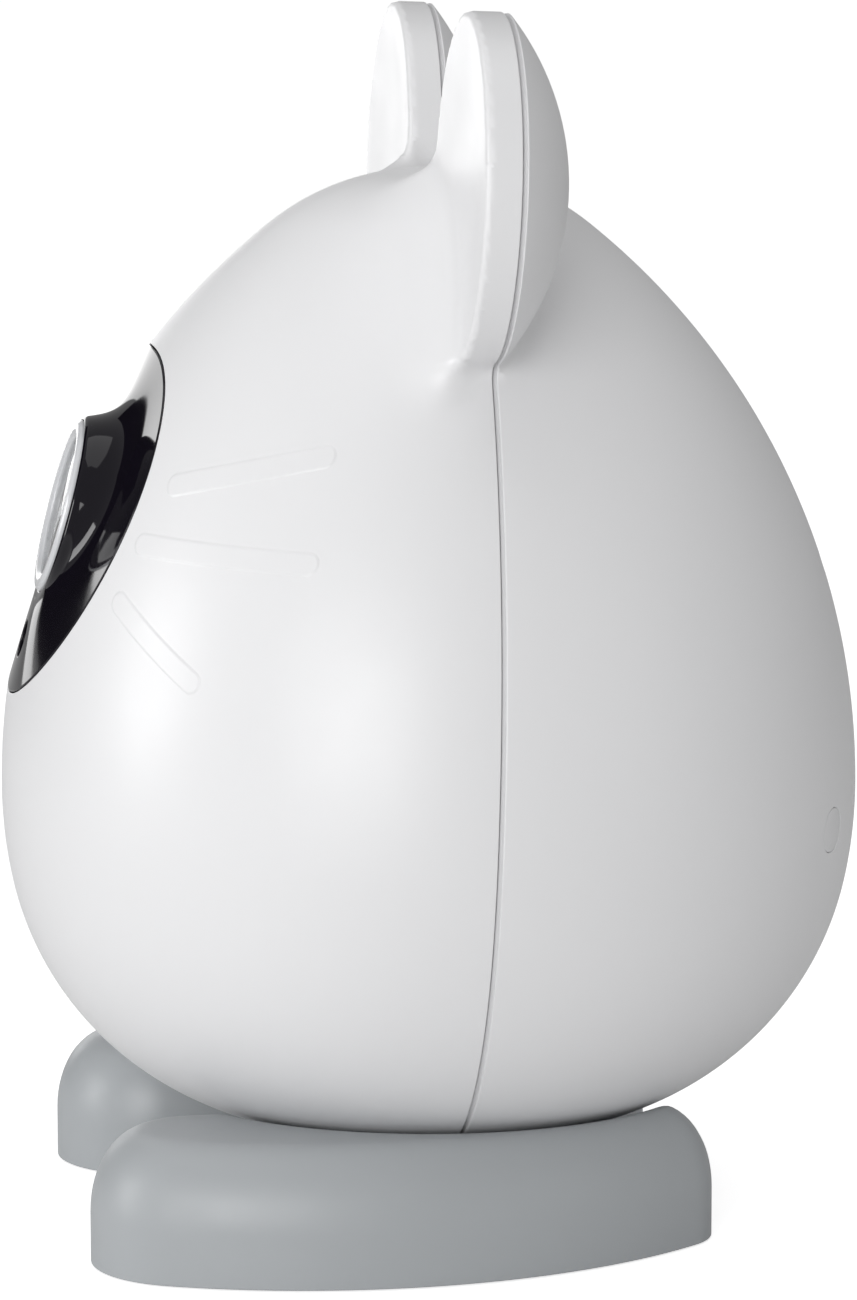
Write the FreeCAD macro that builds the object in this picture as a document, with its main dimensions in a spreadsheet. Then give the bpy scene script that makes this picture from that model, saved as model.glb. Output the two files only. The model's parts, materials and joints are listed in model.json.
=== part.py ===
import FreeCAD, Part
import math
import os
import Sketcher

# An egg-shaped baby monitor camera with two round ears. It turns on a pivot between two feet.
# Millimetres. +Z is up, the lens looks towards -Y, and the origin is on the ground under the pan axis.

document = FreeCAD.newDocument("baby_monitor_camera")
sheet = document.addObject("Spreadsheet::Sheet", "Sizes")

DRIVING_SIZES = {
    # egg-shaped body, an outline of tangent arcs turned about the pan axis
    "body_radius": 42.7, "body_mid": 43.0, "side_offset": 28.5, "crown_rise": 61.2,
    "belly_radius": 45.0, "belly_turn": 12.0, "keel_radius": 31.0, "wall": 2.2,
    # parting plane between the shells, leaning back a little
    "seam_y": 1.15, "seam_height": 60.0, "seam_lean": 2.0, "seam_gap": 0.4,
    "lip_depth": 3.0, "lip_wall": 1.2, "lip_relief": 0.4, "lip_neck": 6.0, "neck_gap": 0.1,
    # raised whiskers on the cheeks
    "whisker_rise": 0.3, "whisker_width": 2.1, "whisker_root": 0.8,
    # ears
    "ear_radius": 16.6, "ear_spread": 26.0, "ear_height": 103.3, "ear_front": 3.6,
    "ear_dish": 1.3, "ear_rim": 0.8, "ear_dome": 6.2, "ear_edge": 0.5, "ear_wall": 1.8,
    # lens axis and face panel
    "lens_y": -36.7, "lens_height": 71.1, "lens_tilt": 15.0,
    "panel_radius": 18.95, "panel_gap": 0.15, "panel_wall": 1.2, "panel_ledge": 16.0,
    "ring_radius": 8.7, "ring_bore": 6.4, "ring_depth": 1.4, "well_radius": 8.75,
    "boss_radius": 15.5, "boss_drop": 5.2, "boss_curve": 9.5,
    "window_wall": 0.8, "window_rise": 0.5, "barrel_radius": 4.2, "barrel_wall": 0.8, "lens_radius": 3.6,
    "lens_front": 2.6, "rear_lens_tall": 3.2, "gasket_tall": 4.0, "holder_width": 13.0, "holder_tall": 8.0,
    "chip_room": 9.0, "chip_room_tall": 2.6, "chip_wide": 7.0, "chip_high": 6.0, "chip_thick": 1.1,
    "eye_drop": 13.67, "eye_radius": 1.9, "eye_gap": 0.05, "eye_top": -0.3, "eye_thick": 0.7,
    "board_wall": 1.2, "infrared_radius": 14.5, "infrared_low": -7.6, "led_circle": 10.5, "led_radius": 1.5,
    "led_tall": 1.9, "led_side": 0.9,
    "sensor_board_size": 26.0, "sensor_hole": 11.5, "sensor_depth": 20.0,
    # speaker
    "speaker_height": 65.0, "speaker_radius": 12.0, "speaker_y": 30.5, "gasket_wall": 1.0,
    "gasket_width": 1.2, "speaker_tube": 1.4, "basket_back": 6.0, "magnet_radius": 6.5, "magnet_back": 10.0,
    "slot_height": 1.8, "slot_pitch": 3.5, "slot_width": 16.0, "short_slot_width": 12.0,
    # boards, button and power inlet
    "main_y": 22.4, "main_width": 34.0, "main_low": 27.0, "main_tall": 27.0,
    "main_hole_x": 14.5, "main_hole_z": 11.0, "board_hole": 1.2, "board_post": 2.4, "sensor_post": 1.75,
    "board_screw": 1.15, "board_screw_head": 2.0, "board_screw_long": 6.0, "processor_thick": 1.4,
    "shield_thick": 2.6, "switch_width": 6.0, "switch_thick": 3.4, "switch_travel": 0.8, "switch_dome": 1.6,
    "antenna_y": 14.0, "antenna_height": 81.0, "antenna_thick": 0.8,
    "button_height": 36.0, "button_radius": 3.85, "button_hole": 4.0, "button_face": 42.0,
    "button_flange": 5.2, "button_flange_y": 38.6, "button_stem": 1.8, "button_stem_y": 29.2,
    "inlet_height": 27.0, "inlet_width": 10.0, "inlet_tall": 5.0, "power_board_y": 19.0,
    "inlet_drop": 0.8, "socket_wide": 8.2, "socket_high": 3.6, "socket_wall": 0.5, "power_floor": 2.6,
    "microphone_x": 8.0, "microphone_y": 24.0, "microphone_radius": 2.0, "microphone_hole": 0.6,
    "microphone_tall": 1.6, "ribbon_thick": 0.3, "ribbon_width": 5.0,
    # housing screws under plugs
    "screw_spread": 21.6, "screw_height": 40.6, "plug_radius": 2.2, "plug_gap": 0.05, "screw_post": 3.4,
    "housing_screw": 1.2, "housing_screw_head": 2.1, "housing_head_tall": 2.0, "housing_screw_way": 1.6,
    "housing_seat": 12.0, "housing_reach": 10.0, "rib_inset": 1.0,
    # pivot
    "journal_radius": 5.0, "running_gap": 0.03, "shoulder_radius": 7.5, "flange_radius": 12.0,
    "shoulder_z": 8.8, "socket_top": 8.5, "socket_radius": 9.5, "socket_flange": 15.0,
    "stop_half": 2.2, "stop_reach": 10.5, "stop_clear": 8.2, "stop_radius": 7.6, "hub_hole": 11.0,
    "journal_low": 3.2, "flange_low": 2.7, "flange_thick": 1.8, "pivot_screw": 1.25, "pivot_screw_top": 10.5,
    "pivot_screw_head": 3.0, "pivot_screw_low": 1.1, "stop_low": 2.6, "stop_thick": 0.6,
    "flange_gap": 0.1, "socket_flange_top": 4.8, "socket_screw": 1.2, "socket_screw_head": 2.2,
    "socket_screw_top": 6.0, "socket_screw_circle": 12.3,
    # feet and base plate
    "foot_height": 13.2, "foot_skirt": 0.2, "foot_wall": 2.0, "foot_shoulder": 5.5,
    "toe_x": 22.6, "toe_y": -25.4, "toe_radius": 10.6,
    "heel_x": 18.9, "heel_y": 18.9, "heel_radius": 6.5, "flank_radius": 50.0,
    "plate_low": 0.8, "plate_wall": 2.5, "plate_gap": 0.2, "bridge_radius": 17.0,
    "foot_boss": 3.0, "foot_screw": 1.15, "foot_screw_head": 2.3, "foot_screw_seat": 2.2,
    "foot_screw_low": 0.9, "foot_screw_top": 8.5,
    "pad_radius": 4.2, "cradle_gap": 0.5,
}
for row, (alias, value) in enumerate(DRIVING_SIZES.items(), start=1):
    sheet.set(f"A{row}", alias)
    sheet.set(f"B{row}", str(value))
    sheet.setAlias(f"B{row}", alias)
document.recompute()


class Size:
    """A number together with the spreadsheet formula that gives it."""

    def __init__(self, value, formula=None):
        self.value = float(value)
        self.formula = formula or repr(float(value))

    def joined(self, other, sign, value):
        return Size(value, f"({self.formula} {sign} {other.formula})")

    def __add__(self, other):
        other = as_size(other)
        return self.joined(other, "+", self.value + other.value)

    def __sub__(self, other):
        other = as_size(other)
        return self.joined(other, "-", self.value - other.value)

    def __mul__(self, other):
        other = as_size(other)
        return self.joined(other, "*", self.value * other.value)

    def __truediv__(self, other):
        other = as_size(other)
        return self.joined(other, "/", self.value / other.value)

    def __neg__(self):
        return Size(-self.value, f"(-1 * {self.formula})")


def as_size(number):
    return number if isinstance(number, Size) else Size(number)


def sine(angle):
    return Size(math.sin(math.radians(angle.value)), f"sin({angle.formula})")


def cosine(angle):
    return Size(math.cos(math.radians(angle.value)), f"cos({angle.formula})")


def size(alias):
    return Size(DRIVING_SIZES[alias], f"Sizes.{alias}")


def bind(thing, name, value):
    """Sets a property from a Size and ties it to the spreadsheet."""
    value = as_size(value)
    thing.setExpression(name, value.formula)


# ---- placements -------------------------------------------------------------------------------

def at(x=0.0, y=0.0, z=0.0, turn=0.0, axis=(1, 0, 0)):
    place = [as_size(number).value for number in (x, y, z)]
    rotation = FreeCAD.Rotation(FreeCAD.Vector(*axis), as_size(turn).value)
    return FreeCAD.Placement(FreeCAD.Vector(*place), rotation)


def seam_frame(x=0.0, z=None):
    """A frame on the parting plane whose local +Z points forwards, square to that plane."""
    z = size("seam_height") if z is None else z
    rise = as_size(z).value - DRIVING_SIZES["seam_height"]
    lean = math.radians(DRIVING_SIZES["seam_lean"])
    y = DRIVING_SIZES["seam_y"] + rise * math.tan(lean)
    return at(x, y, z, 90.0 - DRIVING_SIZES["seam_lean"])


# Local +Z looks out along the lens axis, local +Y climbs the face, and z = 0 is the lens ring's plane.
LENS_FRAME = at(0, size("lens_y"), size("lens_height"), 90.0 - DRIVING_SIZES["lens_tilt"])


def backwards(x, y, z):
    """Local +Z points to the rear, and local +Y points down."""
    return at(x, y, z, -90.0)


# ---- sketches and solids ----------------------------------------------------------------------

def origin_plane(body, role):
    return next(item for item in body.Origin.OriginFeatures if item.Role == role)


def new_sketch(body, role):
    sketch = body.newObject("Sketcher::SketchObject", body.Name + "_outline")
    sketch.AttachmentSupport = [(origin_plane(body, role), "")]
    sketch.MapMode = "FlatFace"
    return sketch


def constrain(sketch, kind, *where, value):
    value = as_size(value)
    index = sketch.addConstraint(Sketcher.Constraint(kind, *where, value.value))
    sketch.setExpression(f"Constraints[{index}]", value.formula)


def arc_between(start, end, radius):
    """An arc from start to end. A positive radius turns clockwise, a negative one anticlockwise."""
    chord = end - start
    half = chord.Length / 2
    depth = math.sqrt(max(radius * radius - half * half, 0.0))
    side = FreeCAD.Vector(chord.y, -chord.x, 0).normalize() * math.copysign(depth, radius)
    middle = (start + end) * 0.5
    centre = middle + side
    outward = (middle - centre).normalize() if depth > 1e-6 else side * -1
    return Part.Arc(start, centre + outward * abs(radius), end)


def add_outline(sketch, steps):
    """A closed outline. Each step is (x, y) for a line to that point or (x, y, radius) for an arc."""
    corners = [FreeCAD.Vector(as_size(step[0]).value, as_size(step[1]).value, 0) for step in steps]
    pieces = []
    for number, step in enumerate(steps):
        start = corners[number - 1]
        end = corners[number]
        if len(step) == 2:
            pieces.append(sketch.addGeometry(Part.LineSegment(start, end)))
        else:
            arc = arc_between(start, end, as_size(step[2]).value)
            pieces.append(sketch.addGeometry(arc))
    ends = []
    for number, piece in enumerate(pieces):
        first = sketch.getPoint(piece, 1)
        swapped = (first - corners[number]).Length < (first - corners[number - 1]).Length
        ends.append((2, 1) if swapped else (1, 2))
    for number, step in enumerate(steps):
        following = (number + 1) % len(steps)
        sketch.addConstraint(Sketcher.Constraint(
            "Coincident", pieces[number], ends[number][1], pieces[following], ends[following][0]))
        constrain(sketch, "DistanceX", -1, 1, pieces[number], ends[number][1], value=step[0])
        constrain(sketch, "DistanceY", -1, 1, pieces[number], ends[number][1], value=step[1])
        if len(step) == 3:
            radius = as_size(step[2])
            constrain(sketch, "Radius", pieces[number], value=radius if radius.value > 0 else -radius)


def add_circle(sketch, x, y, radius):
    centre = FreeCAD.Vector(as_size(x).value, as_size(y).value, 0)
    normal = FreeCAD.Vector(0, 0, 1)
    ring = sketch.addGeometry(Part.Circle(centre, normal, as_size(radius).value))
    constrain(sketch, "DistanceX", -1, 1, ring, 3, value=x)
    constrain(sketch, "DistanceY", -1, 1, ring, 3, value=y)
    constrain(sketch, "Radius", ring, value=radius)


def lathe(name, steps, placement=FreeCAD.Placement()):
    """A body turned about its local Z axis from an outline of (radius, height) steps."""
    body = document.addObject("PartDesign::Body", name)
    sketch = new_sketch(body, "XZ_Plane")
    add_outline(sketch, steps)
    turned = body.newObject("PartDesign::Revolution", name + "_turned")
    turned.Profile = sketch
    turned.ReferenceAxis = (sketch, ["V_Axis"])
    turned.Angle = 360.0
    body.Placement = placement
    return body


def slab(name, low, thick, placement=FreeCAD.Placement(), outline=None, circles=()):
    """A body padded up from its local plane z = low, from an outline or from circles."""
    body = document.addObject("PartDesign::Body", name)
    sketch = new_sketch(body, "XY_Plane")
    if outline:
        add_outline(sketch, outline)
    for circle in circles:
        add_circle(sketch, *circle)
    bind(sketch, ".AttachmentOffset.Base.z", low)
    pad = body.newObject("PartDesign::Pad", name + "_pad")
    pad.Profile = sketch
    bind(pad, "Length", thick)
    body.Placement = placement
    return body


def rectangle(wide, tall, x=0.0, y=0.0):
    """The outline of a rectangle about the centre (x, y)."""
    half_x = as_size(wide) / 2
    half_y = as_size(tall) / 2
    x = as_size(x)
    y = as_size(y)
    return [(x - half_x, y - half_y), (x + half_x, y - half_y),
            (x + half_x, y + half_y), (x - half_x, y + half_y)]


def capsule(wide, tall, y=0.0):
    """The outline of a slot with round ends, level and centred on x = 0."""
    radius = as_size(tall) / 2
    reach = as_size(wide) / 2 - radius
    y = as_size(y)
    return [(reach, y - radius), (reach, y + radius, -radius * Size(1.0001)),
            (-reach, y + radius), (-reach, y - radius, -radius * Size(1.0001))]


def rod(name, radius, low, high, placement=FreeCAD.Placement(), x=0.0, y=0.0):
    return slab(name, low, as_size(high) - as_size(low), placement, circles=[(x, y, radius)])


def fuse(name, *pieces):
    joined = document.addObject("Part::MultiFuse", name)
    joined.Shapes = list(pieces)
    joined.Refine = True
    return joined


def common(name, *pieces):
    shared = document.addObject("Part::MultiCommon", name)
    shared.Shapes = list(pieces)
    return shared


def cut(name, base, *tools):
    carved = document.addObject("Part::Cut", name)
    carved.Base = base
    carved.Tool = tools[0] if len(tools) == 1 else fuse(name + "_tools", *tools)
    return carved


def group(name, pieces):
    """Separate solids of one kind, kept together in one node."""
    return fuse(name, *pieces) if len(pieces) > 1 else pieces[0]


def mirrored(name, piece):
    twin = document.addObject("Part::Mirroring", name)
    twin.Source = piece
    twin.Normal = FreeCAD.Vector(1, 0, 0)
    return twin


nodes = []


def keep(piece, label):
    """Marks a finished sub-part: its label names its node and its file."""
    piece.Label = label
    nodes.append(piece)
    return piece


# ---- the egg ----------------------------------------------------------------------------------

def egg(name, inset):
    """The body's outline, moved in by inset, turned about the pan axis."""
    inset = as_size(inset)
    offset = size("side_offset")
    side = size("body_radius") + offset
    slack = side - size("crown_rise")
    crown_centre = (offset * offset - slack * slack) / (slack * 2)
    crown = size("crown_rise") - crown_centre - inset
    centre_distance = slack + crown_centre
    belly_centre = size("body_radius") - size("belly_radius")
    belly = size("belly_radius") - inset
    keel_shift = size("belly_radius") - size("keel_radius")
    keel_x = belly_centre + keel_shift * cosine(size("belly_turn"))
    keel_drop = keel_shift * sine(size("belly_turn"))
    keel = size("keel_radius") - inset
    low = -keel_drop - keel
    steps = [
        (0, low),
        (0, size("crown_rise") - inset),
        (crown * offset / centre_distance,
         crown_centre + crown * crown_centre / centre_distance, crown),
        (size("body_radius") - inset, 0, side - inset),
        (belly_centre + belly * cosine(size("belly_turn")), -belly * sine(size("belly_turn")), belly),
        (keel_x, low, keel),
    ]
    return lathe(name, steps, at(z=size("body_mid")))


# lengths that reach right out of the body
HALF_SPACE = 120.0
REACH = 60.0
LENS_REACH = 25.0


def half_space(name, near, far):
    """A thick sheet parallel to the parting plane, from near to far along its forward normal."""
    return slab(name, near, as_size(far) - as_size(near), seam_frame(),
                outline=rectangle(2 * HALF_SPACE, 2 * HALF_SPACE))


def ear_front(name, x):
    radius = size("ear_radius")
    rim = size("ear_rim")
    top = size("ear_front")
    dish = size("ear_dish")
    span = radius - rim
    sweep = (span * span + dish * dish) / (dish * 2)
    steps = [(0, 0), (radius, 0), (radius, top - rim), (span, top, -rim * Size(1.0001)),
             (0, top - dish, sweep)]
    return lathe(name, steps, seam_frame(x, size("ear_height")))


def ear_rear(name, x, inset):
    """The domed rear half of an ear, or with an inset the hollow inside it."""
    inset = as_size(inset)
    radius = size("ear_radius") - inset
    gap = size("seam_gap")
    edge = gap + size("ear_edge")
    dome = size("ear_dome") - inset
    sag = dome - edge
    sweep = (radius * radius + sag * sag) / (sag * 2)
    steps = [(0, -dome), (radius, -edge, -sweep), (radius, -gap), (0, -gap)]
    return lathe(name, steps, seam_frame(x, size("ear_height")))


def ear_pocket(name, x):
    """The shallow hollow in the back of an ear's front half."""
    depth = size("ear_front") - size("ear_dish") - size("ear_wall")
    return rod(name, size("ear_radius") - size("ear_wall") * 2, 0, depth,
               seam_frame(x, size("ear_height")))


# ---- shells -----------------------------------------------------------------------------------

POST_GAP = 0.5

def main_frame():
    """The main board's front face, seen with local +Z to the rear."""
    return backwards(0, size("main_y"), size("main_low") + size("main_tall") / 2)


def corners(across, along):
    """The four hole centres of a board."""
    return [(size(across) * x, size(along) * y) for x in (-1, 1) for y in (-1, 1)]


def board_holes(across, along):
    return [(x, y, size("board_hole")) for x, y in corners(across, along)]


EAR_SIDES = (("left", -size("ear_spread")), ("right", size("ear_spread")))


def screw_axis(side):
    """Housing screws run from the rear: local +Z points backwards from the parting plane."""
    return backwards(size("screw_spread") * side, 0, size("screw_height"))


# Each whisker: degrees round from the front, height, length, and rise of its outer end in degrees.
WHISKERS = [(51.5, 77.0, 17.8, 12.0), (50.3, 69.4, 20.8, -2.0), (41.8, 61.0, 14.5, -31.0)]


def make_whiskers():
    """Capsule-shaped bars that stand a little proud of the egg, three on each cheek."""
    bars = []
    for side in (-1, 1):
        for number, (around, height, length, rise) in enumerate(WHISKERS):
            face = at(0, 0, height, side * around, (0, 0, 1)) * at(turn=90)
            bars.append(slab(f"whisker_{side + 1}_{number}", 0, REACH, face * at(turn=side * rise, axis=(0, 0, 1)),
                             outline=capsule(length, size("whisker_width"))))
    skin = cut("whisker_skin", egg("whisker_top", -size("whisker_rise")), egg("whisker_root", size("whisker_root")))
    return common("whiskers", fuse("whisker_bars", *bars), skin)


def make_front_shell():
    ears = [ear_front(f"{side}_ear_front", x) for side, x in EAR_SIDES]
    outer = fuse("front_outer", egg("front_egg", 0), *ears)
    forward = common("front_half", outer, half_space("front_side", 0, HALF_SPACE))
    pockets = [ear_pocket(f"{side}_ear_pocket", x) for side, x in EAR_SIDES]
    rebate = cut("panel_rebate",
                 rod("panel_seat", size("panel_radius") + size("panel_gap"), -LENS_REACH, LENS_REACH, LENS_FRAME),
                 egg("panel_floor", size("panel_wall")))
    opening = rod("panel_opening", size("panel_ledge"), -LENS_REACH, LENS_REACH, LENS_FRAME)
    neck = rod("front_neck", size("shoulder_radius") + size("neck_gap"), 0, size("body_mid"))
    hollow = egg("front_hollow", size("wall"))
    shell = cut("front_skin", forward, hollow, rebate, opening, neck, *pockets)
    lip = common("front_lip",
                 cut("lip_ring", egg("lip_outer", size("wall")),
                     egg("lip_inner", size("wall") + size("lip_wall"))),
                 half_space("lip_sheet", -size("lip_depth"), size("lip_depth")))
    posts = []
    for side in (-1, 1):
        post = rod(f"front_post_{side + 1}", size("screw_post"), -REACH, -POST_GAP, screw_axis(side))
        room = egg(f"post_room_{side + 1}", size("rib_inset"))
        posts.append(common(f"front_post_inside_{side + 1}", post, room))
    holes = [rod(f"front_pilot_{side + 1}", size("housing_screw"), -size("housing_seat") - 2, size("lip_depth"),
                 screw_axis(side)) for side in (-1, 1)]
    board_posts = []
    for number, (x, y) in enumerate(corners("sensor_hole", "sensor_hole")):
        board_posts.append(rod(f"sensor_post_{number}", size("sensor_post"), -size("sensor_depth"), 10,
                               LENS_FRAME, x, y))
        holes.append(rod(f"sensor_pilot_{number}", size("board_screw"), -LENS_REACH, -size("sensor_depth") + 5,
                         LENS_FRAME, x, y))
    posts.append(common("sensor_posts", fuse("sensor_post_stock", *board_posts),
                        egg("sensor_post_room", size("panel_wall"))))
    lip_relief = [rod(f"lip_relief_{side + 1}", size("screw_post") + size("lip_relief"), -POST_GAP, REACH,
                      screw_axis(side))
                  for side in (-1, 1)]
    lip_cut = cut("front_lip_cut", lip,
                  rod("lip_neck", size("shoulder_radius") + size("lip_neck"), 0, size("body_mid")), *lip_relief)
    whole = fuse("front_whole", shell, lip_cut, make_whiskers(), *posts)
    return keep(cut("front_shell", whole, *holes), "front_shell")


def make_rear_shell():
    ears = [ear_rear(f"{side}_ear_rear", x, 0) for side, x in EAR_SIDES]
    outer = fuse("rear_outer", egg("rear_egg", 0), *ears)
    backward = common("rear_half", outer, half_space("rear_side", -HALF_SPACE, -size("seam_gap")))
    pockets = [ear_rear(f"{side}_ear_hollow", x, size("ear_wall")) for side, x in EAR_SIDES]
    hollow = egg("rear_hollow", size("wall"))
    neck = rod("rear_neck", size("shoulder_radius") + size("neck_gap"), 0, size("body_mid"))
    skin = cut("rear_skin", backward, hollow, neck, *pockets)

    speaker_frame = backwards(0, 0, size("speaker_height"))
    tube = rod("speaker_tube", size("speaker_radius") + size("speaker_tube"), size("speaker_y") - 5, REACH,
               speaker_frame)
    posts = [rod(f"rear_post_{side + 1}", size("screw_post"), 2, REACH, screw_axis(side)) for side in (-1, 1)]
    for number, (x, y) in enumerate(corners("main_hole_x", "main_hole_z")):
        posts.append(rod(f"board_post_{number}", size("board_post"), size("board_wall"), REACH, main_frame(), x, y))
    ribs = common("rear_ribs", fuse("rear_rib_stock", tube, *posts), egg("rib_room", size("rib_inset")))
    whole = fuse("rear_whole", skin, ribs)

    front_of_gasket = size("speaker_y") + size("gasket_wall")
    room = size("wall") + 0.2
    bores = [
        rod("speaker_bore", size("speaker_radius") + size("neck_gap"), 20, front_of_gasket, speaker_frame),
        common("speaker_front_room",
               rod("speaker_front_bore", size("speaker_radius") - size("gasket_width"), 20, REACH, speaker_frame),
               egg("speaker_wall", room)),
        rod("button_bore", size("button_hole"), 30, REACH, backwards(0, 0, size("button_height"))),
        slab("inlet_bore", 25, 25, backwards(0, 0, size("inlet_height")),
             outline=rectangle(size("inlet_width"), size("inlet_tall"))),
        rod("microphone_bore", size("microphone_hole"), 5, 25, at(size("microphone_x"), size("microphone_y"), 0)),
    ]
    for number, wide in ((-1, "short_slot_width"), (0, "slot_width"), (1, "short_slot_width")):
        bores.append(slab(f"speaker_slot_{number + 1}", 25, 25, speaker_frame,
                          outline=capsule(size(wide), size("slot_height"), size("slot_pitch") * number)))
    for number, (x, y) in enumerate(corners("main_hole_x", "main_hole_z")):
        bores.append(rod(f"board_pilot_{number}", size("board_screw"), 0, size("board_screw_long") + 1,
                         main_frame(), x, y))
    for side in (-1, 1):
        bores.append(rod(f"plug_bore_{side + 1}", size("plug_radius"), size("housing_seat"), REACH, screw_axis(side)))
        bores.append(rod(f"shank_bore_{side + 1}", size("housing_screw_way"), 0, size("housing_seat") + 1,
                         screw_axis(side)))
    return keep(cut("rear_shell", whole, *bores), "rear_shell")


def make_housing_screws():
    screws = []
    for side in (-1, 1):
        seat = size("housing_seat")
        top = seat + size("housing_head_tall")
        steps = [(0, -size("housing_reach")), (0, top), (size("housing_screw_head"), top),
                 (size("housing_screw_head"), seat), (size("housing_screw"), seat),
                 (size("housing_screw"), -size("housing_reach"))]
        screws.append(lathe(f"housing_screw_{side + 1}", steps, screw_axis(side)))
    keep(group("housing_screws", screws), "housing_screws")
    plugs = []
    for side in (-1, 1):
        stock = rod(f"plug_{side + 1}", size("plug_radius") - size("plug_gap"), 32, REACH, screw_axis(side))
        plugs.append(common(f"plug_face_{side + 1}", stock, egg(f"plug_room_{side + 1}", 0.1)))
    keep(group("screw_plugs", plugs), "screw_plugs")


# ---- face and lens ----------------------------------------------------------------------------

def make_face_panel():
    disc = common("panel_disc", egg("panel_egg", 0),
                  rod("panel_stock", size("panel_radius"), -LENS_REACH, LENS_REACH, LENS_FRAME))
    boss = lathe("panel_boss", [
        (0, -size("boss_drop")), (0, 0), (size("well_radius") + 0.5, 0),
        (size("boss_radius"), -size("boss_drop"), -size("boss_curve"))], LENS_FRAME)
    raised = fuse("panel_raised", disc, boss)
    well = rod("lens_well", size("well_radius"), -size("ring_depth"), LENS_REACH, LENS_FRAME)
    barrel_way = rod("barrel_way", size("ring_bore") - size("neck_gap"), -LENS_REACH, LENS_REACH, LENS_FRAME)
    eye_way = rod("eye_way", size("eye_radius"), -LENS_REACH, LENS_REACH, LENS_FRAME, y=-size("eye_drop"))
    back = egg("panel_back", size("panel_wall"))
    keep(cut("face_panel", raised, back, well, barrel_way, eye_way), "face_panel")


def make_lens():
    ring = size("ring_radius")
    bore = size("ring_bore")
    depth = size("ring_depth")
    keep(lathe("lens_ring", [
        (bore, -depth), (bore, -0.5), (bore + 0.9, 0.35), (ring - 0.5, 0.45),
        (ring, 0.1), (ring, -depth)], LENS_FRAME), "lens_ring")
    window_low = -depth - size("window_wall") + size("window_rise")
    keep(rod("lens_window", bore - 0.12, window_low, window_low + size("window_wall"), LENS_FRAME),
         "lens_window")
    gasket_low = -depth - size("gasket_tall")
    keep(lathe("lens_gasket", [
        (size("barrel_radius") + 0.4, gasket_low), (size("barrel_radius") + 0.4, window_low),
        (bore - 0.2, window_low), (bore - 0.2, gasket_low)], LENS_FRAME), "lens_gasket")
    front = window_low - 0.3
    tail = -size("sensor_depth") + size("chip_room_tall")
    keep(lathe("lens_barrel", [
        (size("lens_radius") - size("barrel_wall"), tail), (size("lens_radius") - size("barrel_wall"), front - 3),
        (size("lens_radius"), front - 3), (size("lens_radius"), front),
        (size("barrel_radius"), front), (size("barrel_radius"), tail)], LENS_FRAME), "lens_barrel")
    curve = 7.0
    keep(lathe("front_lens", [
        (0, front - size("lens_front")), (0, front - 0.5), (size("lens_radius"), front - 1.5, curve),
        (size("lens_radius"), front - size("lens_front"))], LENS_FRAME), "front_lens")
    inner = size("lens_radius") - size("barrel_wall")
    keep(lathe("rear_lens", [
        (0, tail + 1), (0, tail + size("rear_lens_tall")), (inner, tail + size("lens_front"), 5.5), (inner, tail + 1)],
        LENS_FRAME), "rear_lens")


def make_sensor_stack():
    base = -size("sensor_depth")
    wide = size("holder_width")
    block = slab("holder_block", base, size("holder_tall"), LENS_FRAME, outline=rectangle(wide, wide))
    barrel_hole = rod("holder_hole", size("barrel_radius"), base + size("chip_room_tall"), 0, LENS_FRAME)
    chip_room = slab("holder_room", base, size("chip_room_tall"), LENS_FRAME,
                     outline=rectangle(size("chip_room"), size("chip_room")))
    keep(cut("lens_holder", block, barrel_hole, chip_room), "lens_holder")
    keep(slab("image_sensor", base, size("chip_thick"), LENS_FRAME,
              outline=rectangle(size("chip_wide"), size("chip_high"))), "image_sensor")
    board = size("sensor_board_size")
    keep(slab("sensor_board", base - size("board_wall"), size("board_wall"), LENS_FRAME,
              outline=rectangle(board, board), circles=board_holes("sensor_hole", "sensor_hole")), "sensor_board")


def make_infrared_ring():
    low = size("infrared_low")
    keep(slab("infrared_board", low, size("board_wall"), LENS_FRAME,
              circles=[(0, 0, size("infrared_radius")), (0, 0, size("ring_bore") + 0.2)]),
         "infrared_board")
    lamps = []
    count = 8
    top = low + size("board_wall")
    for number in range(count):
        angle = Size(360.0 / count * (number + 0.5))
        lamp = lathe(f"infrared_lamp_{number}", [
            (0, top), (0, top + size("led_tall")), (size("led_radius"), top + size("led_side"), 1.6),
            (size("led_radius"), top)],
            LENS_FRAME * at(size("led_circle") * sine(angle), size("led_circle") * cosine(angle), 0))
        lamps.append(lamp)
    keep(group("infrared_lamps", lamps), "infrared_lamps")
    keep(slab("light_sensor", top, 0.9, LENS_FRAME,
              outline=rectangle(2.0, 1.6, 0, -size("eye_drop") + 0.6)), "light_sensor")
    eye_low = size("eye_top") - size("eye_thick")
    keep(rod("light_sensor_window", size("eye_radius") - size("eye_gap"), eye_low, size("eye_top"), LENS_FRAME,
             y=-size("eye_drop")), "light_sensor_window")


# ---- speaker ----------------------------------------------------------------------------------

def make_speaker():
    frame = backwards(0, size("speaker_y"), size("speaker_height"))
    radius = size("speaker_radius")
    keep(lathe("speaker_frame", [
        (6.6, -size("basket_back")), (6.6, -5.2), (10.2, -1.0), (10.2, 0), (radius, 0), (radius, -1.2),
        (10.9, -1.2), (7.4, -size("basket_back"))], frame), "speaker_frame")
    keep(lathe("speaker_cone", [
        (0, -3.0), (0, -2.6), (3.2, -3.6, 5.0), (9.0, -0.7), (9.6, -0.3), (10.1, -0.7),
        (10.1, -1.0), (9.6, -0.7), (9.0, -1.1), (3.2, -4.0)], frame), "speaker_cone")
    magnet_top = -size("basket_back") - size("plug_gap")
    keep(lathe("speaker_magnet", [
        (0, -size("magnet_back")), (0, magnet_top), (size("magnet_radius"), magnet_top),
        (size("magnet_radius"), -size("magnet_back"))], frame), "speaker_magnet")
    keep(slab("speaker_gasket", 0, size("gasket_wall"), frame,
              circles=[(0, 0, radius), (0, 0, radius - size("gasket_width"))]), "speaker_gasket")


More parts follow.
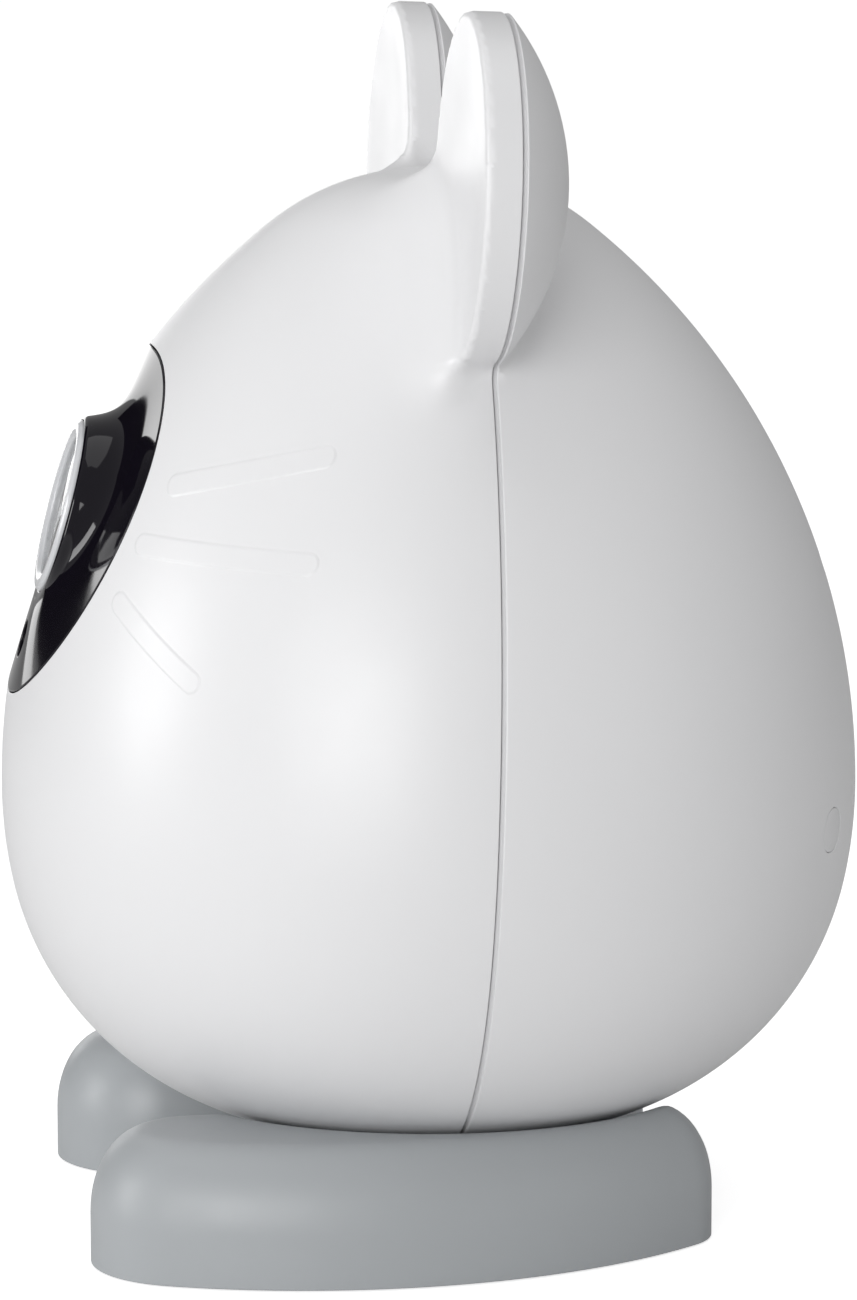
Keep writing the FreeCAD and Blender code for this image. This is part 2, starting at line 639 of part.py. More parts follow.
# ---- electronics ------------------------------------------------------------------------------

def make_boards():
    thick = size("board_wall")
    tall = size("main_tall")
    centre = size("main_low") + tall / 2
    board_frame = main_frame()
    keep(slab("main_board", 0, thick, board_frame, outline=rectangle(size("main_width"), tall),
              circles=board_holes("main_hole_x", "main_hole_z")), "main_board")
    keep(slab("main_processor", -size("processor_thick"), size("processor_thick"), board_frame,
              outline=rectangle(9, 12, -8, 0)), "main_processor")
    keep(slab("radio_shield", -size("shield_thick"), size("shield_thick"), board_frame,
              outline=rectangle(12, 16, 9, 0)), "radio_shield")
    switch_drop = centre - size("button_height")
    wide = size("switch_width")
    body = slab("switch_body", thick, size("switch_thick"), board_frame, outline=rectangle(wide, wide, 0, switch_drop))
    dome_low = thick + size("switch_thick")
    dome = rod("switch_dome", size("switch_dome"), dome_low, dome_low + size("switch_travel"), board_frame,
               y=switch_drop)
    keep(fuse("button_switch", body, dome), "button_switch")
    keep(slab("radio_antenna", 0, size("antenna_thick"), backwards(0, size("antenna_y"), size("antenna_height")),
              outline=rectangle(size("main_width"), 7)), "radio_antenna")


def make_power_inlet():
    floor = size("inlet_height") - size("power_floor")
    keep(slab("power_board", floor - size("board_wall"), size("board_wall"),
              at(0, size("power_board_y") + 6.0, 0), outline=rectangle(18, 12)), "power_board")
    low = size("power_board_y")
    wide = size("socket_wide")
    high = size("socket_high")
    wall = size("socket_wall")
    block = slab("socket_block", low + 6.5, 9.7, backwards(0, 0, size("inlet_height")),
                 outline=rectangle(wide, high, 0, size("inlet_drop")))
    mouth = slab("socket_mouth", low + 9, 10, backwards(0, 0, size("inlet_height")),
                 outline=rectangle(wide - wall * 2, high - wall * 2.4, 0, size("inlet_drop")))
    tongue = slab("socket_tongue", low + 8, 6, backwards(0, 0, size("inlet_height")),
                  outline=rectangle(5.0, 0.7, 0, size("inlet_drop")))
    keep(fuse("power_socket", cut("socket_can", block, mouth), tongue), "power_socket")
    board_low = floor - size("board_wall")
    keep(rod("microphone", size("microphone_radius"), board_low - size("microphone_tall"), board_low,
             at(size("microphone_x"), size("microphone_y"), 0)), "microphone")


def make_ribbon():
    """The flat flexible cable from the sensor board to the main board, drawn in side view."""
    thick = DRIVING_SIZES["ribbon_thick"]
    wide = size("ribbon_width")
    path = [(-19.3, 52.9), (-6.0, 42.0), (14.0, 42.0), (21.9, 46.0)]
    low = [(y, z - thick) for y, z in reversed(path)]
    side_view = FreeCAD.Placement(FreeCAD.Vector(-wide.value / 2, 0, 0), FreeCAD.Rotation(
        FreeCAD.Vector(0, 1, 0), FreeCAD.Vector(0, 0, 1), FreeCAD.Vector(1, 0, 0), "XYZ"))
    keep(slab("sensor_ribbon", 0, wide, side_view, outline=path + low), "sensor_ribbon")


def make_board_screws():
    """Four screws run back into the rear shell, and four run forward into the front shell."""
    shank = size("board_screw")
    crown = size("board_screw_head")
    steps = [(0, -1.2), (0, size("board_screw_long")), (shank, size("board_screw_long")), (shank, 0),
             (crown, 0), (crown, -1.2)]
    screws = []
    for x, y in corners("main_hole_x", "main_hole_z"):
        screws.append(lathe(f"board_screw_{len(screws)}", steps, main_frame() * at(x, y, 0)))
    for x, y in corners("sensor_hole", "sensor_hole"):
        seat = LENS_FRAME * at(x, y, -size("sensor_depth") - size("board_wall"))
        screws.append(lathe(f"board_screw_{len(screws)}", steps, seat))
    keep(group("board_screws", screws), "board_screws")


def make_button():
    face = size("button_face")
    frame = backwards(0, 0, size("button_height"))
    radius = size("button_radius")
    flange = size("button_flange")
    flange_y = size("button_flange_y")
    stem = size("button_stem")
    low = size("button_stem_y")
    keep(lathe("pair_button", [
        (0, low), (0, face), (radius - 0.5, face - 0.15, 40.0), (radius, face - 0.6), (radius, flange_y),
        (flange, flange_y), (flange, flange_y - 1), (stem, flange_y - 1), (stem, low)], frame), "pair_button")


# ---- pivot ------------------------------------------------------------------------------------

def make_pivot():
    journal = size("journal_radius")
    shoulder = size("shoulder_radius")
    top_wall = size("shoulder_z") + size("flange_low")
    flange_top = top_wall + size("flange_thick")
    bottom = size("journal_low")
    screw = size("pivot_screw")
    screw_top = size("pivot_screw_top")
    keep(lathe("pan_stem", [
        (screw, bottom), (screw, screw_top + 1), (0, screw_top + 1), (0, flange_top), (size("flange_radius"), flange_top),
        (size("flange_radius"), top_wall), (shoulder, top_wall), (shoulder, size("shoulder_z")),
        (journal, size("shoulder_z")), (journal, bottom)]), "pan_stem")
    bore = journal + size("running_gap")
    low = bottom + size("flange_gap")
    socket = lathe("socket_turned", [
        (bore, low), (bore, size("socket_top")), (size("socket_radius"), size("socket_top")),
        (size("socket_radius"), size("socket_flange_top")), (size("socket_flange"), size("socket_flange_top")),
        (size("socket_flange"), low)])
    screw_ways = [rod(f"socket_way_{number}", size("socket_screw") + 0.1, 0, 10, x=x, y=y)
                  for number, (x, y) in enumerate(SOCKET_SCREWS)]
    keep(cut("pan_socket", socket, *screw_ways), "pan_socket")
    keep(slab("friction_washer", size("socket_top"), size("shoulder_z") - size("socket_top"),
              circles=[(0, 0, shoulder - 0.1), (0, 0, journal + 0.2)]), "friction_washer")
    stop_low = size("stop_low")
    disc = rod("stop_disc", size("stop_radius"), stop_low, stop_low + size("stop_thick"))
    tab = slab("stop_tab", stop_low, size("stop_thick"), outline=rectangle(
        size("stop_half") * 2, size("stop_reach"), 0, size("stop_reach") / 2))
    keep(cut("stop_washer", fuse("stop_plate", disc, tab), rod("stop_hole", screw + size("plug_gap"), 0, 8)),
         "stop_washer")
    screw_low = size("pivot_screw_low")
    crown = size("pivot_screw_head")
    keep(lathe("pivot_screw", [
        (0, screw_low), (0, screw_top), (screw, screw_top), (screw, stop_low), (crown, stop_low),
        (crown, screw_low)]), "pivot_screw")


SOCKET_SCREWS = [(size("socket_screw_circle") * sine(Size(angle)), size("socket_screw_circle") * cosine(Size(angle)))
                 for angle in (0, 120, 240)]


def make_socket_screws():
    screws = []
    for number, (x, y) in enumerate(SOCKET_SCREWS):
        low = size("socket_screw")
        top = size("socket_screw_top")
        seat = size("socket_flange_top")
        crown = size("socket_screw_head")
        steps = [(0, low), (0, top), (crown, top), (crown, seat), (low, seat), (low, low)]
        screws.append(lathe(f"socket_screw_{number}", steps, at(x, y, 0)))
    keep(group("socket_screws", screws), "socket_screws")


# ---- feet and base ----------------------------------------------------------------------------

def foot_outline(sketch, inset):
    """Toe and heel circles joined by a bowed outer flank and a straight inner side."""
    inset = as_size(inset)
    toe_radius = size("toe_radius") - inset
    heel_radius = size("heel_radius") - inset
    flank_radius = size("flank_radius") - inset
    toe = FreeCAD.Vector(DRIVING_SIZES["toe_x"], DRIVING_SIZES["toe_y"], 0)
    heel = FreeCAD.Vector(DRIVING_SIZES["heel_x"], DRIVING_SIZES["heel_y"], 0)
    line = heel - toe
    length = line.Length
    along = line / length
    inward = FreeCAD.Vector(-along.y, along.x, 0)
    to_toe = flank_radius.value - toe_radius.value
    to_heel = flank_radius.value - heel_radius.value
    reach = (to_toe ** 2 - to_heel ** 2 + length ** 2) / (2 * length)
    flank = toe + along * reach + inward * math.sqrt(to_toe ** 2 - reach ** 2)
    drift = (toe_radius.value - heel_radius.value) / length
    tangent = inward * math.sqrt(1 - drift ** 2) + along * drift

    def edge(centre, direction, radius):
        return centre + direction * (radius.value / direction.Length)

    toe_inner = edge(toe, tangent, toe_radius)
    toe_outer = edge(toe, toe - flank, toe_radius)
    heel_outer = edge(heel, heel - flank, heel_radius)
    heel_inner = edge(heel, tangent, heel_radius)
    flank_middle = edge(flank, (toe_outer + heel_outer) * 0.5 - flank, flank_radius)
    toe_tip = edge(toe, -along, toe_radius)
    heel_tip = edge(heel, along, heel_radius)
    arcs = [sketch.addGeometry(Part.Arc(toe_inner, toe_tip, toe_outer)),
            sketch.addGeometry(Part.Arc(toe_outer, flank_middle, heel_outer)),
            sketch.addGeometry(Part.Arc(heel_outer, heel_tip, heel_inner))]
    side = sketch.addGeometry(Part.LineSegment(heel_inner, toe_inner))
    ring = arcs + [side]
    for number, piece in enumerate(ring):
        following = ring[(number + 1) % len(ring)]
        sketch.addConstraint(Sketcher.Constraint("Tangent", piece, 2, following, 1))
    for arc, x, y, radius in ((arcs[0], "toe_x", "toe_y", toe_radius),
                              (arcs[2], "heel_x", "heel_y", heel_radius)):
        constrain(sketch, "DistanceX", -1, 1, arc, 3, value=size(x))
        constrain(sketch, "DistanceY", -1, 1, arc, 3, value=size(y))
        constrain(sketch, "Radius", arc, value=radius)
    constrain(sketch, "Radius", arcs[1], value=flank_radius)


def foot_block(name, inset, low, high, shoulder):
    """A block with the foot's outline, its top edge rounded by shoulder."""
    body = document.addObject("PartDesign::Body", name)
    sketch = new_sketch(body, "XY_Plane")
    foot_outline(sketch, inset)
    bind(sketch, ".AttachmentOffset.Base.z", low)
    pad = body.newObject("PartDesign::Pad", name + "_pad")
    pad.Profile = sketch
    bind(pad, "Length", as_size(high) - as_size(low))
    if shoulder is None:
        return body
    document.recompute()
    top_face = next(f"Face{number}" for number, face in enumerate(pad.Shape.Faces, start=1)
                    if abs(face.CenterOfMass.z - as_size(high).value) < 1e-6)
    rounded = body.newObject("PartDesign::Fillet", name + "_shoulder")
    rounded.Base = (pad, [top_face])
    bind(rounded, "Radius", shoulder)
    return body


FOOT_SCREWS = [(25.0, -21.0), (20.5, 13.0)]


def make_feet():
    outer = foot_block("foot_outer", 0, size("foot_skirt"), size("foot_height"), size("foot_shoulder"))
    inner = foot_block("foot_inner", size("foot_wall"), 0,
                       size("foot_height") - size("foot_wall"), size("foot_shoulder") - size("foot_wall"))
    cradle = egg("cradle", -size("cradle_gap"))
    under_cradle = egg("under_cradle", -size("cradle_gap") - size("foot_wall"))
    hollow = cut("foot_hollow", inner, under_cradle)
    bosses = [rod(f"foot_boss_{number}", size("foot_boss"), size("plate_low") + size("plate_wall"),
                  size("foot_height") - 1.0, x=x, y=y) for number, (x, y) in enumerate(FOOT_SCREWS)]
    bridge_way = rod("foot_bridge_way", size("bridge_radius") + size("plate_gap"), 0,
                     size("plate_low") + size("plate_wall") + size("plate_gap"))
    socket_way = rod("foot_socket_way", size("socket_flange") + 0.5, 0, 20)
    pilots = [rod(f"foot_pilot_{number}", size("foot_screw"), 0, size("foot_height") - 3.0, x=x, y=y)
              for number, (x, y) in enumerate(FOOT_SCREWS)]
    solid = fuse("foot_body", cut("foot_skin", outer, hollow), common("foot_posts", outer, fuse(
        "foot_boss_pair", *bosses)))
    right = cut("right_foot", solid, cradle, bridge_way, socket_way, *pilots)
    keep(right, "right_foot")
    keep(mirrored("left_foot", right), "left_foot")


def make_base_plate():
    low = size("plate_low")
    top = low + size("plate_wall")
    sole = foot_block("sole_right", size("foot_wall") + size("plate_gap"), low, top, None)
    bridge = rod("bridge_disc", size("bridge_radius"), low, top)
    plate = fuse("plate_stock", sole, mirrored("sole_left", sole), bridge)
    hub = rod("hub_way", size("hub_hole"), 0, 10)
    lug_far = size("hub_hole") + 1.0
    lug_near = size("stop_clear")
    lug = slab("stop_lug", low, size("plate_wall"), outline=rectangle(
        size("stop_half") * 2, lug_far - lug_near, 0, -(lug_far + lug_near) / 2))
    ways = []
    for sign in (-1, 1):
        for number, (x, y) in enumerate(FOOT_SCREWS):
            way = size("foot_screw") + 0.15
            crown = size("foot_screw_head") + size("plate_gap")
            seat = size("foot_screw_seat")
            steps = [(0, 0), (0, 5), (way, 5), (way, seat), (crown, seat), (crown, 0)]
            ways.append(lathe(f"plate_way_{sign + 1}_{number}", steps, at(sign * x, y, 0)))
    for number, (x, y) in enumerate(SOCKET_SCREWS):
        ways.append(rod(f"plate_socket_way_{number}", size("socket_screw"), 1, 10, x=x, y=y))
    drilled = cut("plate_drilled", plate, hub, *ways)
    keep(fuse("base_plate", drilled, lug), "base_plate")


def make_foot_hardware():
    screws = []
    pads = []
    for sign in (-1, 1):
        for number, (x, y) in enumerate(FOOT_SCREWS):
            low = size("foot_screw_low")
            top = size("foot_screw_top")
            shank = size("foot_screw")
            crown = size("foot_screw_head")
            seat = size("foot_screw_seat")
            steps = [(0, low), (0, top), (shank, top), (shank, seat), (crown, seat), (crown, low)]
            screws.append(lathe(f"foot_screw_{sign + 1}_{number}", steps, at(sign * x, y, 0)))
        for number, (x, y) in enumerate(((21.5, -27.5), (18.9, 18.9))):
            reach = size("pad_radius") if number == 0 else size("pad_radius") - 1.0
            pads.append(rod(f"pad_{sign + 1}_{number}", reach, 0, size("plate_low"), x=sign * x, y=y))
    keep(group("foot_screws", screws), "foot_screws")
    keep(group("foot_pads", pads), "foot_pads")


# ---- build and write --------------------------------------------------------------------------

make_front_shell()
make_rear_shell()
make_housing_screws()
make_face_panel()
make_lens()
make_sensor_stack()
make_infrared_ring()
make_speaker()
make_boards()
make_power_inlet()
make_ribbon()
make_board_screws()
make_button()
make_pivot()
make_socket_screws()
make_feet()
make_base_plate()
make_foot_hardware()

document.recompute()

for item in document.Objects:
    if "Invalid" in item.State or "Error" in item.State:
        raise RuntimeError(f"{item.Label} failed: {item.State}")
for node in nodes:
    if node.Shape.isNull() or not node.Shape.isValid() or not node.Shape.Solids:
        raise RuntimeError(f"{node.Label} has no valid solid")

os.makedirs("parts", exist_ok=True)
for node in nodes:
    node.Shape.exportStep(f"parts/{node.Label}.step")
    box = node.Shape.BoundBox
    print(f"{node.Label:22s} solids {len(node.Shape.Solids):2d} volume {node.Shape.Volume:9.1f} "
          f"x {box.XMin:6.1f} {box.XMax:6.1f} y {box.YMin:6.1f} {box.YMax:6.1f} "
          f"z {box.ZMin:6.1f} {box.ZMax:6.1f}")
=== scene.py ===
"""A baby monitor camera: an egg-shaped head with round ears that turns on two feet.

The visible outside is built here as fine meshes on smooth solids, each written as a signed distance
in millimetres. The inside keeps its CAD meshes, with materials of their own.
"""
import json
import math

import bmesh
import bpy
import numpy as np
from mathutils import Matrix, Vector


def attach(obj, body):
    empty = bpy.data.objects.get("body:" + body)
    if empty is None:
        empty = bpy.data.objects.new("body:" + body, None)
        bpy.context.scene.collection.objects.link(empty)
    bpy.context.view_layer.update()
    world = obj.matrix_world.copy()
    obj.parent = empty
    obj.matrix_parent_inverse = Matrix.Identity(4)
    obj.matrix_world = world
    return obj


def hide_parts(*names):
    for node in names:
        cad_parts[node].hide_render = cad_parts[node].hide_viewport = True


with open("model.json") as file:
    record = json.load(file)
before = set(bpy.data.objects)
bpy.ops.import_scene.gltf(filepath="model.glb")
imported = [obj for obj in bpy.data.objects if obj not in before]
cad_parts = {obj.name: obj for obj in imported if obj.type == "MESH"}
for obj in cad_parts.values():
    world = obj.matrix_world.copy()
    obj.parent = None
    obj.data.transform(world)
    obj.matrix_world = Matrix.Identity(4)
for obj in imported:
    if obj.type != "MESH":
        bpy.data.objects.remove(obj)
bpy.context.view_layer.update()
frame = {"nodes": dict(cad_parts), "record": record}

MM = 0.001
FAR = 50.0
RIGHT = np.array([1.0, 0.0, 0.0])

# ---- sizes in millimetres ---------------------------------------------------------------------

# the egg's profile as tangent arcs: radius and height of the centre, then the arc's own radius
EGG_MID = 43.0
SIDE_ARC = (-28.5, EGG_MID, 71.2)
CROWN_ARC = (0.0, 78.61, 25.59)
BELLY_ARC = (-2.3, EGG_MID, 45.0)
KEEL_ARC = (11.39, 40.09, 31.0)
CROWN_START = (15.99, 98.59)
EGG_FLOOR = 9.09
SIDE_TURN = math.atan2(CROWN_START[1] - SIDE_ARC[1], CROWN_START[0] - SIDE_ARC[0])
BELLY_TURN = math.radians(-12.0)
WALL = 1.1

# the parting plane of the two shells, and the rear shell's ledge, which shows in the gap between
# them: how far it reaches out, how deep in the wall it lies, and where it fades out behind the gap
SEAM_Y = 1.15
SEAM_HEIGHT = 60.0
SEAM_LEAN = math.radians(2.0)
SEAM_GAP = 0.4
LEDGE_REACH = 0.3
LEDGE_TOP = 0.3
LEDGE_LOW = 0.9
LEDGE_END = 1.2
LEDGE_FADE = 0.6
FORWARD = np.array([0.0, -math.cos(SEAM_LEAN), math.sin(SEAM_LEAN)])
SEAM_UP = np.array([0.0, math.sin(SEAM_LEAN), math.cos(SEAM_LEAN)])

# the ears, and the fillet at their foot, which changes from rear to front over a short way
EAR_SPREAD = 26.0
EAR_HEIGHT = 103.3
EAR_RADIUS = 16.6
EAR_FRONT = 3.6
EAR_RIM = 0.8
EAR_DISH = 1.3
EAR_DISH_EDGE = 0.8
EAR_DOME = 6.2
EAR_EDGE = 0.5
EAR_CENTRE_Y = SEAM_Y + (EAR_HEIGHT - SEAM_HEIGHT) * math.tan(SEAM_LEAN)
FRONT_FILLET = 7.5
REAR_FILLET = 2.0
FILLET_BEHIND = 1.0
FILLET_CHANGE = 8.0

# the lens, the black face round it, and the eye, which is the hole for the light sensor; the face
# dives from its land beside the lens, over a span that is a share of the way to its rim
LENS_TILT = math.radians(15.0)
LENS_CENTRE = np.array([0.0, -36.7, 71.1])
LENS_AXIS = np.array([0.0, -math.cos(LENS_TILT), math.sin(LENS_TILT)])
LENS_UP = np.array([0.0, math.sin(LENS_TILT), math.cos(LENS_TILT)])
PANEL_RADIUS = 18.95
PANEL_GAP = 0.15
PANEL_FLAT = 1.5
PANEL_WALL = 0.8
PANEL_DIVE = 0.75
PANEL_DIVE_SPAN = 0.12
PANEL_LAND_BEND = 0.0006
WELL_RADIUS = 8.75
LAND_RADIUS = 9.25
EYE_DROP = 13.67
EYE_RADIUS = 1.9

# degrees round from the front, height, length and rise of the outer end
WHISKERS = [(51.5, 77.0, 17.8, 12.0), (50.3, 69.4, 20.8, -2.0), (41.8, 61.0, 14.5, -31.0)]
WHISKER_RISE = 0.08
WHISKER_HALF = 1.0
WHISKER_EDGE = 0.13

# openings in the shells; the three limits keep each one to its own side of the head
NECK_RADIUS = 7.6
SLOT_HEIGHTS = ((61.5, 12.0), (65.0, 16.0), (68.5, 12.0))
SLOT_TALL = 1.8
SLOT_CORNER = SLOT_TALL / 2 - 0.01
BUTTON_HEIGHT = 36.0
BUTTON_HOLE = 4.0
INLET_HEIGHT = 27.0
INLET_HALF = (5.0, 2.5)
INLET_CORNER = 1.0
PLUG_SPREAD = 21.6
PLUG_HEIGHT = 40.6
PLUG_RADIUS = 2.2
PANEL_AHEAD_OF = -15.0
NECK_BELOW = 20.0
HOLES_BEHIND = 10.0

# how wide each opening's edge is rolled in, and how softly two openings run together
LIP_RANGE = (0.05, 0.6)
HOLE_LIP = 0.13
SEAM_LIP = 0.2
FOOT_LIP = 0.15
SEAM_BLEND = 0.6
SOCKET_BLEND = 0.4

# the feet: toe and heel are circles on the ground, as x, y and radius; the skin starts at
# FOOT_BASE and is trimmed at FOOT_LOW
TOE = (22.6, -25.4, 10.6)
HEEL = (18.9, 18.9, 6.5)
FLANK_RADIUS = 50.0
FOOT_TOP = 13.2
FOOT_LOW = 0.2
FOOT_BASE = -2.0
SHOULDER_WIDE = 5.5
SHOULDER_TALL = 8.0
FOOT_WALL = 1.2
CRADLE_GAP = 0.5
CRADLE_BLEND = 0.6
SOCKET_WAY = 15.5
TOE_CENTRE = np.array(TOE[:2])
FOOT_LENGTH = np.linalg.norm(np.array(HEEL[:2]) - TOE_CENTRE)
FOOT_ALONG = (np.array(HEEL[:2]) - TOE_CENTRE) / FOOT_LENGTH
FOOT_INWARD = np.array([-FOOT_ALONG[1], FOOT_ALONG[0]])

# turned outlines: each point is a radius and a place along the axis. AXIS stands for the middle.
AXIS = 0.02
TRIM_OUTLINE = [(6.95, -1.4), (6.95, 0.1), (7.6, 0.42), (8.35, 0.42), (8.7, 0.1), (8.7, -1.4)]
WINDOW_OUTLINE = [(AXIS, -1.0), (6.9, -1.0), (6.9, -0.12), (AXIS, 0.0)]
BAFFLE_OUTLINE = [(3.75, -1.75), (3.75, -1.35), (5.0, -1.2), (5.2, -1.35),
                  (6.2, -1.1), (6.9, -1.1), (6.9, -1.75)]
BUTTON_OUTLINE = [(AXIS, 41.75), (2.4, 41.85), (3.3, 42.0), (3.85, 41.5), (3.85, 38.6),
                  (5.2, 38.6), (5.2, 37.6), (1.8, 37.6), (1.8, 29.2), (AXIS, 29.2)]
PLUG_SLACK = 0.04
PLUG_SINK = 0.03
PLUG_DEEP = 4.0
PLUG_OUTLINE = [(AXIS, 0.0), (PLUG_RADIUS - PLUG_SLACK, 0.0),
                (PLUG_RADIUS - PLUG_SLACK, -PLUG_DEEP), (AXIS, -PLUG_DEEP)]
ROUGH_EAR = [(1.0, -6.1), (9.0, -4.6), (14.5, -2.2), (16.4, -0.6), (16.4, 3.0), (15.6, 3.5), (1.0, 2.4)]

# a spot inside the right foot from which its outline is walked to, in short steps every few degrees,
# and the rough foot's levels: height, and width as a share of the outline
FOOT_INSIDE = (21.0, -6.0, 5.0)
WALK_DEGREES = 4
WALK_ROUNDS = 40
WALK_SHARE = 0.8
ROUGH_FOOT = ((FOOT_BASE, 1.0), (9.0, 1.0), (12.5, 0.82))

# fineness of the meshes, and how near to a line their faces are halved
HEAD_VOXEL = 1.0
FOOT_VOXEL = 0.8
SMOOTH_ROUNDS = 10
LIP_STEPS = 4
PANEL_RINGS = 44
PANEL_TURNS = 160
PANEL_SPARE = 0.5
RIM_INSET = 1.0
RIM_BAND = 2.6
RIM_DEPTH = 7.5
FILLET_BAND = 4.0
FILLET_BACK = 3.0
WHISKER_BANDS = (1.4, 0.9, 0.5)
HOLE_BANDS = (1.6, 0.8)
EYE_BAND = 0.9
CRADLE_BAND = 0.9
CREASE = math.radians(40.0)

# limits of the searches, and how near counts as lying on a line or a surface; the last two are in metres
FLAT_SLOPE = 0.2
LONGEST_MOVE = 2.0
BORDER_ROUNDS = 4
BORDER_SLOPE = 0.25
BORDER_MOVE = 0.5
EGG_ROUNDS = 30
PANEL_START = 2.0
REAR_START = 36.0
ON_LINE = 0.02
ON_SURFACE = 0.004
SLIVER_AREA = 1e-12
SHORTEST_EDGE = 1e-7


# ---- signed distances -------------------------------------------------------------------------

def smooth_min(a, b, reach):
    """The lower of two distances, with a fillet about as large as reach where they meet."""
    near = np.maximum(reach - np.abs(a - b), 0.0) / reach
    return np.minimum(a, b) - near * near * reach * 0.25


def smooth_max(a, b, reach):
    return -smooth_min(-a, -b, reach)


def slope(shape, points):
    """The shape's gradient at each point, by central differences."""
    step = 0.01
    found = np.empty_like(points)
    for axis in range(3):
        shift = np.zeros(3)
        shift[axis] = step
        found[:, axis] = (shape(points + shift) - shape(points - shift)) / (2 * step)
    return found


def unit(vectors):
    return vectors / np.maximum(np.linalg.norm(vectors, axis=1, keepdims=True), 1e-9)


def settle(shape, points, rounds=6):
    """Moves each point along the slope until it lies on the shape's surface."""
    for _ in range(rounds):
        rise = slope(shape, points)
        steep = np.maximum((rise * rise).sum(axis=1), FLAT_SLOPE)
        move = rise * (shape(points) / steep)[:, None]
        points = points - np.clip(move, -LONGEST_MOVE, LONGEST_MOVE)
    return points


def egg(points):
    """The egg: a profile of tangent arcs turned about the pan axis."""
    across = np.hypot(points[:, 0], points[:, 1])
    up = points[:, 2]

    def arc(centre_r, centre_z, radius):
        return np.hypot(across - centre_r, up - centre_z) - radius

    side_turn = np.arctan2(up - SIDE_ARC[1], across - SIDE_ARC[0])
    belly_turn = np.arctan2(up - BELLY_ARC[1], across - BELLY_ARC[0])
    return np.select(
        [side_turn > SIDE_TURN, side_turn > 0, belly_turn > BELLY_TURN, across > KEEL_ARC[0]],
        [arc(*CROWN_ARC), arc(*SIDE_ARC), arc(*BELLY_ARC), arc(*KEEL_ARC)],
        EGG_FLOOR - up)


def out_to_egg(start, spot_at):
    """How far out the egg's surface is, where spot_at gives the points at a distance."""
    out = start
    for _ in range(EGG_ROUNDS):
        out = out - egg(spot_at(out))
    return out


def ear_coordinates(points):
    """How far each point is from the nearer ear's centre line, and how far before the parting plane."""
    offset = points - np.array([0.0, EAR_CENTRE_Y, EAR_HEIGHT])
    beside = np.abs(points[:, 0]) - EAR_SPREAD
    out = np.hypot(beside, offset @ SEAM_UP)
    return out, offset @ FORWARD


def cap_radius(across, deep):
    """The radius of the sphere whose cap is that far across from its middle and that deep."""
    return (across * across + deep * deep) / (2 * deep)


def ears(points):
    """A round ear: soft rim and shallow dish in front, low dome behind."""
    out, ahead = ear_coordinates(points)
    corner_out = out - (EAR_RADIUS - EAR_RIM)
    corner_ahead = ahead - (EAR_FRONT - EAR_RIM)
    plate = (np.minimum(np.maximum(corner_out, corner_ahead), 0.0)
             + np.hypot(np.maximum(corner_out, 0.0), np.maximum(corner_ahead, 0.0)) - EAR_RIM)
    dish_ball = cap_radius(EAR_RADIUS - EAR_RIM, EAR_DISH)
    dish = dish_ball - np.hypot(out, ahead - (EAR_FRONT - EAR_DISH + dish_ball))
    dome_ball = cap_radius(EAR_RADIUS, EAR_DOME)
    dome = np.hypot(out, ahead - (dome_ball - EAR_DOME - EAR_EDGE)) - dome_ball
    return np.maximum(smooth_max(plate, dish, EAR_DISH_EDGE), dome)


def whisker_edges(points):
    """Distance outside the nearest whisker's outline, seen square to its cheek."""
    nearest = np.full(len(points), FAR)
    beside = np.abs(points[:, 0])
    for around, height, length, rise in WHISKERS:
        turn = math.radians(around)
        tilt = math.radians(rise)
        level = beside * math.cos(turn) + points[:, 1] * math.sin(turn)
        up = points[:, 2] - height
        outward = beside * math.sin(turn) - points[:, 1] * math.cos(turn)
        along = level * math.cos(tilt) + up * math.sin(tilt)
        across = up * math.cos(tilt) - level * math.sin(tilt)
        half = length / 2 - WHISKER_HALF
        edge = np.hypot(np.maximum(np.abs(along) - half, 0.0), across) - WHISKER_HALF
        nearest = np.minimum(nearest, np.where(outward > 0, edge, FAR))
    return nearest


def ease(share):
    """A soft step from 0 to 1."""
    share = np.clip(share, 0.0, 1.0)
    return share * share * (3 - 2 * share)


def whisker_lift(points):
    """How far the raised whiskers stand off the egg at each point."""
    return WHISKER_RISE * ease((WHISKER_EDGE - whisker_edges(points)) / (2 * WHISKER_EDGE))


def head(points):
    """The egg and its ears. The fillet between them is wide in front and tight at the rims and behind."""
    _, ahead = ear_coordinates(points)
    reach = REAR_FILLET + (FRONT_FILLET - REAR_FILLET) * ease((ahead + FILLET_BEHIND) / FILLET_CHANGE)
    return smooth_min(egg(points) - whisker_lift(points), ears(points), reach)


def seam(points):
    """How far each point is in front of the parting plane."""
    return (points - np.array([0.0, SEAM_Y, SEAM_HEIGHT])) @ FORWARD


def lens_coordinates(points):
    """Each point seen from the lens: right, up, and out along the lens axis."""
    offset = points - LENS_CENTRE
    return offset[:, 0], offset @ LENS_UP, offset @ LENS_AXIS


def from_lens(flat, out):
    """Points from their place in the lens's own frame."""
    return LENS_CENTRE + flat[:, :1] * RIGHT + flat[:, 1:2] * LENS_UP + out[:, None] * LENS_AXIS


def only_where(inside, field):
    """A hole's field, kept away from the far side of the shell."""
    return np.where(inside, field, -FAR)


def neck_hole(points):
    """Above zero inside the round hole under the egg."""
    return only_where(points[:, 2] < NECK_BELOW, NECK_RADIUS - np.hypot(points[:, 0], points[:, 1]))


def panel_edge(right, up):
    """The face panel's radius in each direction: round, and a little flattened at the top."""
    upward = np.maximum(up, 0.0) / np.maximum(np.hypot(right, up), 1e-6)
    return PANEL_RADIUS - PANEL_FLAT * upward ** 8


